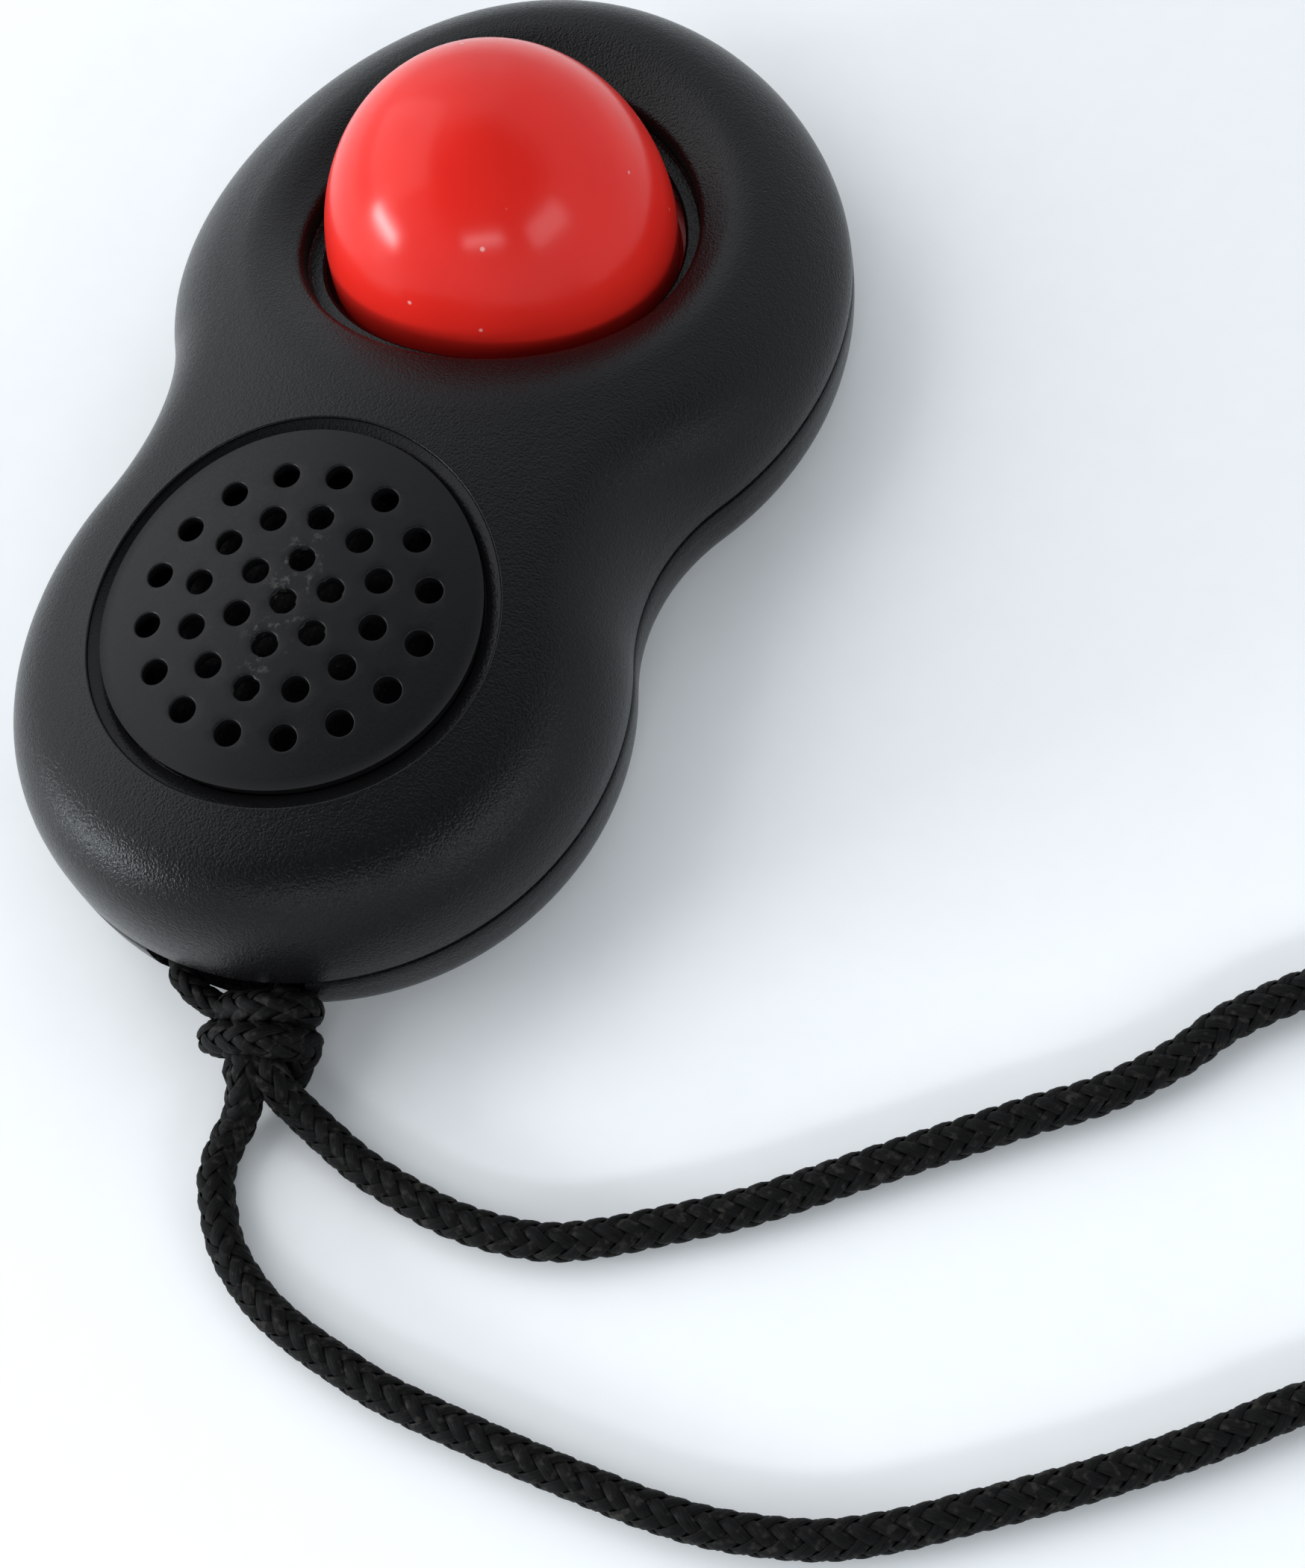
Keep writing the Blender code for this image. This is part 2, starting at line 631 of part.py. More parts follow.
def make_clamp():
    low = PLATE_TOP_Z + GAP
    clamp = box("plate_clamp", (-10.0, PLATE_BACK_Y, low), (10.0, PLATE_BACK_Y + 6.0, low + CLAMP_T))
    for side in (-1, 1):
        cut(clamp, cylinder("clamp_hole", side * CLAMP_X, PLATE_HINGE_Y, low - 1.0, low + 2.0, 1.4, 12))
    clamp.data.materials.append(steel())
    return smooth(clamp)


def screw(name, x, y, seat_z, up, head_r, head_h, shank_r, length):
    """A pan-head screw with a cross recess; up is 1 when its head is on top, -1 when it is below."""
    profile = [(head_r * 0.72, seat_z + up * head_h), (head_r, seat_z + up * head_h * 0.45),
               (head_r, seat_z), (shank_r, seat_z), (shank_r, seat_z - up * (length - 0.8)),
               (shank_r * 0.3, seat_z - up * length)]
    body = turned(name, x, y, profile, 16)
    for across, along in ((0.62, 0.16), (0.16, 0.62)):
        slot_a = seat_z + up * head_h * 0.4
        slot_b = seat_z + up * head_h * 1.5
        cut(body, box("slot", (x - head_r * across, y - head_r * along, min(slot_a, slot_b)),
                      (x + head_r * across, y + head_r * along, max(slot_a, slot_b))))
    body.data.materials.append(steel())
    return smooth(body)


def make_fixings():
    seat = PLATE_TOP_Z + 2 * GAP + CLAMP_T
    for side, word in ((-1, "left"), (1, "right")):
        screw("plate_screw_" + word, side * CLAMP_X, PLATE_HINGE_Y, seat, 1, 2.2, 1.3, 1.0, 6.0)
    for word, (x, y) in SCREW_PLACES.items():
        screw("case_screw_" + word, x, y, SCREW_SEAT_Z, -1, SCREW_HEAD_R, 1.7, SCREW_SHANK_R, 10.3)


def make_damper():
    felt = material("felt", (0.25, 0.24, 0.22), 0.95)
    low = FLOOR_Z + GAP
    return smooth(box("damper_pad", (-4.5, 13.0, low), (4.5, 23.0, low + 1.6), felt))


def make_pin():
    low = FLOOR_Z + GAP
    bevel = 0.4
    profile = [(PIN_R * 0.7, low), (PIN_R, low + bevel), (PIN_R, PIN_TOP_Z - bevel), (PIN_R * 0.7, PIN_TOP_Z)]
    return smooth(turned("lanyard_pin", PIN.x, PIN.y, profile, 16, steel()))


# ---------------------------------------------------------------- cord

def make_cord():
    braid = material("braid", (0.02, 0.02, 0.019), 0.85)
    eye = [Vector((x, y, EYE_Z)) for x, y in EYE_ROUTE]
    loop = [Vector((x, y, LOOP_Z)) for x, y in LOOP_ROUTE]
    bent_tube("cord_eye", smooth_route(eye, 1.3 * CORD_R), CORD_R, 3, braid)
    bent_tube("cord_loop", smooth_route(loop, 3.6 * CORD_R), CORD_R, 3, braid)
    steps = 10
    rings = []
    for k in range(steps + 1):
        angle = math.pi * (k / steps - 0.5)
        radius = max(math.cos(angle), 0.02)
        ring = circle(0, 0, math.sin(angle), radius, 20)
        rings.append([(KNOT.x + KNOT_RADII.x * x, KNOT.y + KNOT_RADII.y * y, KNOT.z + KNOT_RADII.z * z)
                      for x, y, z in ring])
    smooth(stacked("cord_knot", rings, braid), 60)


def main():
    clear_scene()
    make_top_shell()
    make_bottom_shell()
    make_grille()
    make_gauze()
    make_button()
    make_tip()
    make_spring("return_spring_left", -SPRING_X)
    make_spring("return_spring_right", SPRING_X)
    make_plate()
    make_clamp()
    make_fixings()
    make_damper()
    make_pin()
    make_cord()
    to_metres()


main()
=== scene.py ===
"""Looks for the hand-held clicker: grained black case, domed red button, perforated disc and braided cord.

Sizes are in millimetres in the CAD's frame; meshes are scaled to metres when they are made."""

import math

import bmesh
import bpy
import numpy as np
from mathutils import Matrix, Vector
from mathutils.geometry import delaunay_2d_cdt


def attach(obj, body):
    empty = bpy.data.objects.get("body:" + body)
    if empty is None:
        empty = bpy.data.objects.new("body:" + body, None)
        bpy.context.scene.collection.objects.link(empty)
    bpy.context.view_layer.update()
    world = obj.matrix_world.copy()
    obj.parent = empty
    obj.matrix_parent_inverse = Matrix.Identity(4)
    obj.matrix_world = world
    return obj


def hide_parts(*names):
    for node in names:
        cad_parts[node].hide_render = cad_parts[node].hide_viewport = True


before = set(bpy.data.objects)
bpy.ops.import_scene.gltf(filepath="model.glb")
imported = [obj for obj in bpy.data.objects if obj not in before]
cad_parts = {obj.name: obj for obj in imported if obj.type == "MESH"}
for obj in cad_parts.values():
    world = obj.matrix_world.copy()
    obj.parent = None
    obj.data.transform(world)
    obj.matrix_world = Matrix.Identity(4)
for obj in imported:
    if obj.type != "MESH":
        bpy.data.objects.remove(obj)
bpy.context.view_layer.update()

MM = 0.001

# Case outline and section
GRILLE_LOBE_Y, GRILLE_LOBE_R = -21.35, 23.6
BUTTON_LOBE_Y, BUTTON_LOBE_R = 17.15, 27.8
WAIST_R = 17.1
WALL = 1.8
PARTING_Z = 6.5
GAP = 0.3
SOFT_EDGE = 0.3        # rounding of the two shells where they meet
FLOOR_Z = 1.6
CROWN_Z, CROWN_Y = 20.3, -6.0
CROWN_BOW_X, CROWN_BOW_Y = 0.0100, 0.00248
TOP_ROLL, BASE_ROLL = 6.3, 3.2
SQUARENESS = 0.72
LAP = 1.4
REBATE = 0.9

# Button well
WELL_Y, WELL_R = 18.3, 15.8
LIP_Z, LIP_TILT, LIP_BOW = 16.1, 0.19, 0.0095
DISH_SLOPE = 0.42
DISH_BLEND = 1.3       # height over which the dish melts into the crown
LIP_ROUND = 0.8
LEDGE_DROP = 2.0
COLLAR_BORE_R, COLLAR_R, COLLAR_BOTTOM_Z = 14.4, 17.4, 9.0

# Grille disc and its recess
GRILLE_Y = -20.65
RECESS_R, RECESS_DEPTH, RECESS_FLOOR = 15.5, 1.4, 1.8
RECESS_ROUND = 0.14
STEP_DEPTH = 0.28      # short wall at the recess's edge, above the slope that falls to the disc
SLOPE_R, SLOPE_DEPTH = 14.5, 0.58
PAD_R = 16.6
GRILLE_R = 14.2
SPIGOT_R, SPIGOT_BORE, SPIGOT_FOOT = 12.6, 11.75, 4.6
HOLE_R, HOLE_PITCH, HOLE_ROUND = 1.0, 3.5, 0.14
HOLE_RINGS = ((0, 1, 0.0), (1, 6, 30.0), (2, 12, 0.0), (3, 16, 0.0))    # ring, holes, first angle
HOLE_SIDES, DISC_SIDES = 28, 120
DISC_SPACING = 0.75    # between the points of the disc's face
FLASH_X, FLASH_HALF_X, FLASH_HALF_Y, FLASH_DEPTH = 0.5, 2.6, 8.0, 0.22    # middle holes with ragged flash

# Button
BUTTON_R, BUTTON_TOP_Z, BUTTON_WIDEST_Z = 14.0, 29.6, 12.8
BUTTON_SKIRT_R, BUTTON_FOOT_Z, BUTTON_WALL = 13.7, 7.2, 1.5
FLANGE_R, FLANGE_H = 15.2, 1.4
PLUNGER_R, PLUNGER_FOOT_Z = 2.5, 9.5
SPRING_X = 9.0

# Fixings
TOP_BOSS_R, BASE_BOSS_R, SCREW_HEAD_R = 2.6, 3.4, 2.9
SCREW_PLACES = ((-12.8, -34.0), (12.8, -34.0), (-14.4, 34.3), (14.4, 34.3))
SHANK_BORE_R = 1.25
PIN_X, PIN_Y, PIN_BORE_R = 1.4, -37.6, 1.8
SLOT = (-4.8, 7.9, -40.0, 1.5)    # left, right, back, sill of the cord's slot
CLAMP_X, CLAMP_Y = 7.0, -30.0

# Cord
EYE_Z, LOOP_Z = 3.6, 1.45
EYE_ROUTE = ((-3.2, -42.8), (-3.6, -40.4), (-3.2, -37.4), (-1.7, -34.8),
             (1.5, -33.6), (4.6, -34.8), (6.1, -37.5), (6.2, -40.4))
LOOP_ROUTE = ((12.1, -52.3), (15.5, -53.6), (18.8, -54.4), (22.9, -55.1), (26.8, -55.1),
              (30.6, -54.5), (34.1, -53.0), (37.3, -51.2), (43.0, -47.8), (49.1, -43.3), (55.3, -38.7),
              (59.4, -35.7), (63.8, -32.6), (67.9, -28.5), (70.5, -25.0), (74.7, -21.2), (80.0, -17.6),
              (86.6, -14.8), (94.0, -13.6), (101.2, -14.8), (107.2, -18.6), (110.6, -24.2), (110.6, -30.4),
              (107.2, -35.6), (101.4, -39.2), (94.6, -42.2), (87.6, -45.4), (81.6, -49.0), (76.4, -53.4),
              (70.1, -58.1), (63.0, -62.8), (59.2, -65.2), (55.2, -67.2), (51.3, -68.3), (47.3, -69.0),
              (43.3, -69.2), (39.3, -69.1), (35.0, -68.9), (30.7, -68.6), (27.0, -68.3), (23.2, -67.9),
              (19.5, -67.1), (16.0, -66.2), (12.8, -65.0), (10.0, -63.3), (8.1, -61.6), (6.7, -59.6),
              (5.8, -58.1), (5.4, -56.7), (5.3, -55.1))
# The runs that enter the knot, and the knot's own wraps, end inside it
EYE_LEFT_RUN = ((3.4, -46.0, 3.2), (2.2, -46.3, 3.2), (0.9, -46.1, 3.2),
                (-0.7, -45.7, 3.2), (-2.0, -45.1, 3.2), (-2.9, -44.3, 3.2))
EYE_RIGHT_RUN = ((5.8, -43.4, 3.8), (5.6, -44.9, 4.2), (5.2, -46.3, 3.9))
LOOP_RIGHT_RUN = ((5.5, -48.0, 3.9), (6.5, -49.1, 4.3), (7.7, -50.3, 3.9),
                  (8.7, -50.9, 2.9), (9.9, -51.4, 2.0))
LOOP_LEFT_RUN = ((5.5, -53.6, 1.6), (5.6, -52.6, 2.0), (5.7, -51.8, 3.0),
                 (5.8, -51.1, 3.9), (5.6, -49.7, 4.3), (5.1, -48.1, 3.9))
KNOT_ROUTE = ((4.6, -47.3, 3.5), (2.6, -46.6, 2.4), (2.2, -46.1, 3.5), (4.3, -46.1, 5.2), (5.9, -45.7, 5.8),
              (7.3, -45.1, 5.6), (7.9, -44.7, 4.3), (6.9, -45.1, 2.5), (4.7, -46.1, 1.6), (2.6, -47.7, 1.8),
              (1.8, -48.4, 3.2), (4.0, -48.4, 4.9), (6.2, -48.1, 5.6), (7.8, -47.6, 5.1), (8.6, -46.9, 3.6),
              (8.0, -48.1, 2.0), (7.7, -49.1, 1.5), (6.1, -50.0, 1.4), (4.2, -50.0, 1.5), (4.2, -48.6, 2.2))
ROUTE_SAMPLES = 24     # fine points between two points of a route
EYE_THICKNESS = 0.78   # the eye is pulled tight round the pin
BRAID_STRANDS = 6      # each way round
BRAID_PITCH = 10.0
BRAID_STEP = 0.33
BRAID_MID_R, BRAID_WAVE = 1.02, 0.19
STRAND_W, STRAND_H = 0.47, 0.21
STRAND_SIDES = 8
CORE_R, CORE_SIDES = 0.9, 12
CORE_STRIDE = 2        # the core needs only every second ring


# ---------------------------------------------------------------- camera

def make_camera():
    """The camera: what it looks at and from how far, in metres, and its angles in degrees."""
    target = Vector((0.0246, -0.01855, 0.0))
    distance, azimuth, elevation, roll = 0.18754, 36.908, 62.342, -18.375
    data = bpy.data.cameras.new("camera")
    data.sensor_fit = "AUTO"
    data.sensor_width = 36.0
    data.lens = 56.57
    data.clip_start = 0.005
    camera = bpy.data.objects.new("camera", data)
    bpy.context.scene.collection.objects.link(camera)
    az, el = math.radians(azimuth), math.radians(elevation)
    back = Vector((math.sin(az) * math.cos(el), -math.cos(az) * math.cos(el), math.sin(el)))
    right = Vector((math.cos(az), math.sin(az), 0.0))
    up = back.cross(right)
    turn = Matrix.Rotation(math.radians(roll), 3, back)
    basis = Matrix((turn @ right, turn @ up, back)).transposed().to_4x4()
    camera.matrix_world = Matrix.Translation(target + back * distance) @ basis
    bpy.context.scene.camera = camera


# ---------------------------------------------------------------- mesh helpers

def mesh_object(name, points, faces, finish, uvs=None, sharp=40.0):
    """A mesh object from points in millimetres; uvs has one pair for each point."""
    mesh = bpy.data.meshes.new(name)
    mesh.from_pydata((np.asarray(points, float) * MM).tolist(), [], [list(map(int, f)) for f in faces])
    if uvs is not None:
        layer = mesh.uv_layers.new(name="UVMap")
        corner = np.empty(len(mesh.loops), np.int32)
        mesh.loops.foreach_get("vertex_index", corner)
        layer.data.foreach_set("uv", np.asarray(uvs, np.float32)[corner].ravel())
    work = bmesh.new()
    work.from_mesh(mesh)
    bmesh.ops.remove_doubles(work, verts=work.verts, dist=1e-7)
    bmesh.ops.recalc_face_normals(work, faces=work.faces)
    work.to_mesh(mesh)
    work.free()
    mesh.shade_smooth()
    mesh.set_sharp_from_angle(angle=math.radians(sharp))
    if finish:
        mesh.materials.append(finish)
    obj = bpy.data.objects.new(name, mesh)
    bpy.context.scene.collection.objects.link(obj)
    return obj


def ring_angles(sides):
    return 2 * np.pi * np.arange(sides) / sides


def ring_faces(first, count, rings):
    """Quads between consecutive closed rings of equal point count, numbered from first."""
    faces = []
    for k in range(rings - 1):
        low, high = first + k * count, first + (k + 1) * count
        for i in range(count):
            j = (i + 1) % count
            faces.append((low + i, low + j, high + j, high + i))
    return faces


def stacked(name, rings, finish=None, sharp=40.0):
    """A closed solid skinned over rings, with a fan over its first and last ring."""
    count = len(rings[0])
    points = [p for ring in rings for p in ring]
    faces = ring_faces(0, count, len(rings))
    for first, ring in ((0, rings[0]), ((len(rings) - 1) * count, rings[-1])):
        points.append(np.mean(np.asarray(ring, float), axis=0))
        faces += [(first + i, first + (i + 1) % count, len(points) - 1) for i in range(count)]
    return mesh_object(name, points, faces, finish, sharp=sharp)


def circle(x, y, z, radius, sides):
    angles = 2 * np.pi * (np.arange(sides) + 0.5) / sides
    return np.stack([x + radius * np.cos(angles), y + radius * np.sin(angles), np.full(sides, float(z))], 1)


def cylinder(x, y, low, high, radius, sides=32):
    return stacked("tool", [circle(x, y, z, radius, sides) for z in (low, high)])


def turned(name, x, y, profile, sides, finish=None, sharp=40.0):
    return stacked(name, [circle(x, y, z, max(r, 0.01), sides) for r, z in profile], finish, sharp)


def merged(objects):
    """One mesh object holding several separate closed ones."""
    first, *others = objects
    work = bmesh.new()
    for obj in objects:
        work.from_mesh(obj.data)
    work.to_mesh(first.data)
    work.free()
    for obj in others:
        bpy.data.objects.remove(obj, do_unlink=True)
    return first


def combine(obj, tools, operation, sharp=40.0):
    """Joins, cuts or crosses obj with the tools, which are used up."""
    tool = merged(tools)
    modifier = obj.modifiers.new("shape", "BOOLEAN")
    modifier.operation = operation
    modifier.object = tool
    modifier.solver = "EXACT"
    bpy.context.view_layer.update()
    graph = bpy.context.evaluated_depsgraph_get()
    result = bpy.data.meshes.new_from_object(obj.evaluated_get(graph))
    obj.modifiers.clear()
    materials = [m for m in obj.data.materials if m]
    obj.data = result
    obj.data.materials.clear()
    for material in materials:
        obj.data.materials.append(material)
    obj.data.polygons.foreach_set("material_index", [0] * len(obj.data.polygons))
    obj.data.shade_smooth()
    obj.data.set_sharp_from_angle(angle=math.radians(sharp))
    bpy.data.objects.remove(tool, do_unlink=True)
    return obj


# ---------------------------------------------------------------- materials

BLACK = (0.005, 0.005, 0.0052)
GRILLE_MIDDLE = (0.0, GRILLE_Y * MM, 0.0)


def set_inputs(tree, made, inputs):
    """Links each socket, and sets each plain value, into the node's input of that name."""
    for key, value in inputs.items():
        if isinstance(value, bpy.types.NodeSocket):
            tree.links.new(value, made.inputs[key])
        else:
            made.inputs[key].default_value = value


def node(tree, kind, inputs=None, **settings):
    made = tree.nodes.new("ShaderNode" + kind)
    for key, value in settings.items():
        setattr(made, key, value)
    set_inputs(tree, made, inputs or {})
    return made


def blank(name):
    made = bpy.data.materials.new(name)
    made.use_nodes = True
    tree = made.node_tree
    return made, tree, tree.nodes["Principled BSDF"]


def place(tree):
    return node(tree, "TexCoord").outputs["Object"]


def noise(tree, where, scale, detail=2.0, roughness=0.5):
    return node(tree, "TexNoise", {"Vector": where, "Scale": scale, "Detail": detail,
                                   "Roughness": roughness}).outputs["Fac"]


def ramp(tree, value, low, high, to_low=0.0, to_high=1.0):
    return node(tree, "MapRange", {"Value": value, "From Min": low, "From Max": high,
                                   "To Min": to_low, "To Max": to_high}).outputs["Result"]


def mixed(tree, share, first, second):
    """A colour between first, which may be a socket, and second."""
    start = first if isinstance(first, bpy.types.NodeSocket) else (*first, 1.0)
    return node(tree, "MixRGB", {"Fac": share, "Color1": start, "Color2": (*second, 1.0)}).outputs["Color"]


def bump(tree, height, distance, strength=1.0, onto=None):
    inputs = {"Height": height, "Distance": distance, "Strength": strength}
    if onto:
        inputs["Normal"] = onto
    return node(tree, "Bump", inputs).outputs["Normal"]


def product(tree, first, second):
    return node(tree, "Math", {0: first, 1: second}, operation="MULTIPLY").outputs[0]


def off_axis(tree, where, centre, stretch):
    """Distance from centre in metres, with each direction multiplied by its stretch; 0 leaves one out."""
    shifted = node(tree, "VectorMath", {0: where, 1: centre}, operation="SUBTRACT").outputs["Vector"]
    scaled = node(tree, "VectorMath", {0: shifted, 1: stretch}, operation="MULTIPLY").outputs["Vector"]
    return node(tree, "VectorMath", {0: scaled}, operation="LENGTH").outputs["Value"]


def grained_plastic(name, grain, depth, rough, scuffs=0.0):
    """Black moulded plastic, spark-eroded outside the recess and smooth inside it.

    grain is the noise scale, depth is in metres, and scuffs is how strongly the middle holes are marked."""
    made, tree, shader = blank(name)
    where = place(tree)
    fine = noise(tree, where, grain, 2.0, 0.55)
    broad = noise(tree, where, grain * 0.35, 1.0)
    patchy = noise(tree, where, 60.0, 3.0)
    reach = off_axis(tree, where, GRILLE_MIDDLE, (1.0, 1.0, 0.0))
    rim = RECESS_R * MM
    blend = rim + 0.5 * MM
    normal = bump(tree, broad, depth * 1.2, ramp(tree, reach, rim, blend, 0.05, 0.25))
    normal = bump(tree, fine, depth, ramp(tree, reach, rim, blend, 0.25, 0.9), normal)
    tint = mixed(tree, ramp(tree, patchy, 0.3, 0.7), tuple(c * 0.85 for c in BLACK),
                 tuple(c * 1.2 for c in BLACK))
    if scuffs:
        tint = scuffed(tree, where, tint, scuffs)
    set_inputs(tree, shader, {"Base Color": tint, "Normal": normal, "IOR": 1.5, "Specular IOR Level": 0.16,
                              "Roughness": ramp(tree, fine, 0.3, 0.7, rough - 0.05, rough + 0.08)})
    return made


def scuffed(tree, where, tint, strength):
    """The tint with pale scuffs in a narrow strip along the middle holes."""
    reach = off_axis(tree, where, GRILLE_MIDDLE, (3.6, 1.0, 0.0))
    strip = ramp(tree, reach, 5.0 * MM, 8.5 * MM, strength, 0.0)
    marks = ramp(tree, noise(tree, where, 1100.0, 4.0, 0.7), 0.56, 0.66)
    return mixed(tree, product(tree, strip, marks), tint, (0.055, 0.054, 0.05))


def red_plastic():
    """Glossy red button plastic with faint orange peel and a few dust specks."""
    made, tree, shader = blank("red_plastic")
    where = place(tree)
    peel = noise(tree, where, 420.0, 1.0)
    dust = node(tree, "TexVoronoi", {"Vector": where, "Scale": 260.0}).outputs["Distance"]
    speck = product(tree, ramp(tree, dust, 0.035, 0.06, 1.0, 0.0), 0.5)
    haze = noise(tree, where, 90.0, 3.0)
    tint = mixed(tree, ramp(tree, haze, 0.3, 0.7), (0.69, 0.019, 0.013), (0.75, 0.023, 0.015))
    tint = mixed(tree, speck, tint, (0.85, 0.6, 0.55))
    set_inputs(tree, shader, {"Base Color": tint, "Roughness": ramp(tree, haze, 0.3, 0.7, 0.17, 0.24),
                              "Normal": bump(tree, peel, 0.02 * MM, 0.6),
                              "IOR": 1.5, "Specular IOR Level": 0.2,
                              "Subsurface Weight": 0.1, "Subsurface Radius": (0.004, 0.001, 0.0008),
                              "Subsurface Scale": 0.3})
    return made


def braid_fibre():
    """Black polyester yarn: filaments run along each strand, with pale flecks painted in as glints on the
    yarn, and a dull sheen.
    """
    made, tree, shader = blank("braid_fibre")
    along = node(tree, "TexCoord").outputs["UV"]
    stretched = node(tree, "Mapping", {"Vector": along, "Scale": (9.0, 0.7, 1.0)}).outputs["Vector"]
    filament = noise(tree, stretched, 1.6, 3.0, 0.6)
    glint_flecks = noise(tree, place(tree), 1500.0, 2.0)
    tint = mixed(tree, ramp(tree, filament, 0.35, 0.7), (0.001, 0.001, 0.001), (0.009, 0.0088, 0.008))
    # pale flecks painted into the colour as glints of light on the yarn
    tint = mixed(tree, ramp(tree, glint_flecks, 0.56, 0.72, 0.0, 0.8), tint, (0.03, 0.0285, 0.024))
    set_inputs(tree, shader, {"Base Color": tint, "Roughness": 0.5,
                              "Normal": bump(tree, filament, 0.09 * MM, 0.9), "Sheen Weight": 0.01,
                              "Sheen Roughness": 0.45, "IOR": 1.4, "Specular IOR Level": 0.1})
    return made


def steel(name, colour, rough, streak):
    """Bright steel with drawn streaks along one axis and a faint stain."""
    made, tree, shader = blank(name)
    where = place(tree)
    drawn = node(tree, "Mapping", {"Vector": where, "Scale": streak}).outputs["Vector"]
    lines = noise(tree, drawn, 1.0, 3.0)
    stain = noise(tree, where, 180.0, 3.0)
    tint = mixed(tree, ramp(tree, stain, 0.35, 0.7), colour, tuple(c * 0.72 for c in colour))
    set_inputs(tree, shader, {"Base Color": tint, "Metallic": 1.0,
                              "Roughness": ramp(tree, lines, 0.3, 0.7, rough - 0.08, rough + 0.12),
                              "Normal": bump(tree, lines, 0.01 * MM, 0.6)})
    return made


def fluffy(name, dark, light, scale, depth):
    """Felt or rubber: a matt mottled surface. depth is in metres."""
    made, tree, shader = blank(name)
    where = place(tree)
    fuzz = noise(tree, where, scale, 4.0, 0.7)
    set_inputs(tree, shader, {"Base Color": mixed(tree, ramp(tree, fuzz, 0.3, 0.7), dark, light),
                              "Roughness": 0.92, "Normal": bump(tree, fuzz, depth, 0.8), "Sheen Weight": 0.1})
    return made


def woven_gauze():
    """Dust cloth of plain-woven thread, coloured near black so that the holes above it read as painted shade.
    """
    made, tree, shader = blank("woven_gauze")
    where = place(tree)
    waves = [node(tree, "TexWave", {"Vector": where, "Scale": 560.0, "Distortion": 0.6},
                  wave_type="BANDS", bands_direction=axis).outputs["Fac"] for axis in ("X", "Y")]
    weave = product(tree, *waves)
    # the cloth's near-black colour is painted shade, standing in for the darkness inside the holes
    set_inputs(tree, shader, {"Base Color": mixed(tree, weave, (0.003, 0.003, 0.003), (0.012, 0.012, 0.012)),
                              "Roughness": 0.9, "Normal": bump(tree, weave, 0.08 * MM, 0.9)})
    return made


# ---------------------------------------------------------------- cord

def smooth_route(route, spacing):
    """Evenly spaced points on a smooth curve through the route's points."""
    route = [np.array(p, float) for p in route]
    ends = [2 * route[0] - route[1]] + route + [2 * route[-1] - route[-2]]
    fine = []
    for a, b, c, d in zip(ends, ends[1:], ends[2:], ends[3:]):
        for k in range(ROUTE_SAMPLES):
            t = k / ROUTE_SAMPLES
            fine.append(0.5 * (2 * b + (c - a) * t + (2 * a - 5 * b + 4 * c - d) * t * t
                               + (3 * b - a - 3 * c + d) * t ** 3))
    fine.append(route[-1])
    fine = np.array(fine)
    along = np.concatenate([[0.0], np.cumsum(np.linalg.norm(np.diff(fine, axis=0), axis=1))])
    wanted = np.linspace(0.0, along[-1], max(2, round(along[-1] / spacing)) + 1)
    return np.stack([np.interp(wanted, along, fine[:, axis]) for axis in range(3)], 1)


def unit(vectors):
    return vectors / np.linalg.norm(vectors, axis=-1, keepdims=True)


def frames(centre):
    """Two cross directions at each point, carried along with as little turning as possible."""
    tangent = unit(np.gradient(centre, axis=0))
    side = np.empty_like(centre)
    current = np.cross(tangent[0], (0.0, 0.0, 1.0))
    for k, way in enumerate(tangent):
        current = unit(current - way * (current @ way))
        side[k] = current
    return side, np.cross(tangent, side)


def braided(name, routes, finish, thickness=1.0):
    """Braided cord along each route: strands weave two over, two under, round a dark core."""
    points, faces, uvs = [], [], []
    for route in routes:
        centre = smooth_route(route, BRAID_STEP)
        side, other = frames(centre)
        s = np.linspace(0.0, BRAID_STEP * (len(centre) - 1), len(centre))
        for hand in (1, -1):
            for i in range(BRAID_STRANDS):
                add_strand(points, faces, uvs, centre, side, other, s, hand, i, thickness)
        add_tube(points, faces, uvs, centre, side, other, s, thickness)
    return mesh_object(name, np.concatenate(points), faces, finish, np.concatenate(uvs), sharp=80.0)


def add_strand(points, faces, uvs, centre, side, other, s, hand, i, thickness):
    turn = 2 * np.pi * (i / BRAID_STRANDS + hand * s / BRAID_PITCH)
    crossings = 2 * BRAID_STRANDS * s / BRAID_PITCH
    phase = (2 * i + hand * crossings - (0.5 if hand > 0 else 2.5)) / 4
    lift = np.cos(2 * np.pi * phase)
    lift = lift * (1.5 - 0.5 * lift ** 2)
    radial = np.cos(turn)[:, None] * side + np.sin(turn)[:, None] * other
    middle = centre + radial * thickness * (BRAID_MID_R + BRAID_WAVE * lift)[:, None]
    along = unit(np.gradient(middle, axis=0))
    across = unit(np.cross(along, radial))
    up = np.cross(across, along)
    angles = ring_angles(STRAND_SIDES)
    width = thickness * STRAND_W * np.cos(angles)[None, :, None] * across[:, None, :]
    height = thickness * STRAND_H * np.sin(angles)[None, :, None] * up[:, None, :]
    rings = middle[:, None, :] + width + height
    flat = np.stack([np.broadcast_to((1 + np.cos(angles)) / 2 + 3 * i + hand, rings.shape[:2]),
                     np.broadcast_to(s[:, None], rings.shape[:2])], -1)
    add_rings(points, faces, uvs, rings, flat)


def add_tube(points, faces, uvs, centre, side, other, s, thickness):
    angles = ring_angles(CORE_SIDES)
    radius = thickness * CORE_R
    rings = (centre[:, None, :] + radius * np.cos(angles)[None, :, None] * side[:, None, :]
             + radius * np.sin(angles)[None, :, None] * other[:, None, :])
    rings, s = rings[::CORE_STRIDE], s[::CORE_STRIDE]
    flat = np.stack([np.broadcast_to(angles, rings.shape[:2]),
                     np.broadcast_to(s[:, None], rings.shape[:2])], -1)
    add_rings(points, faces, uvs, rings, flat)


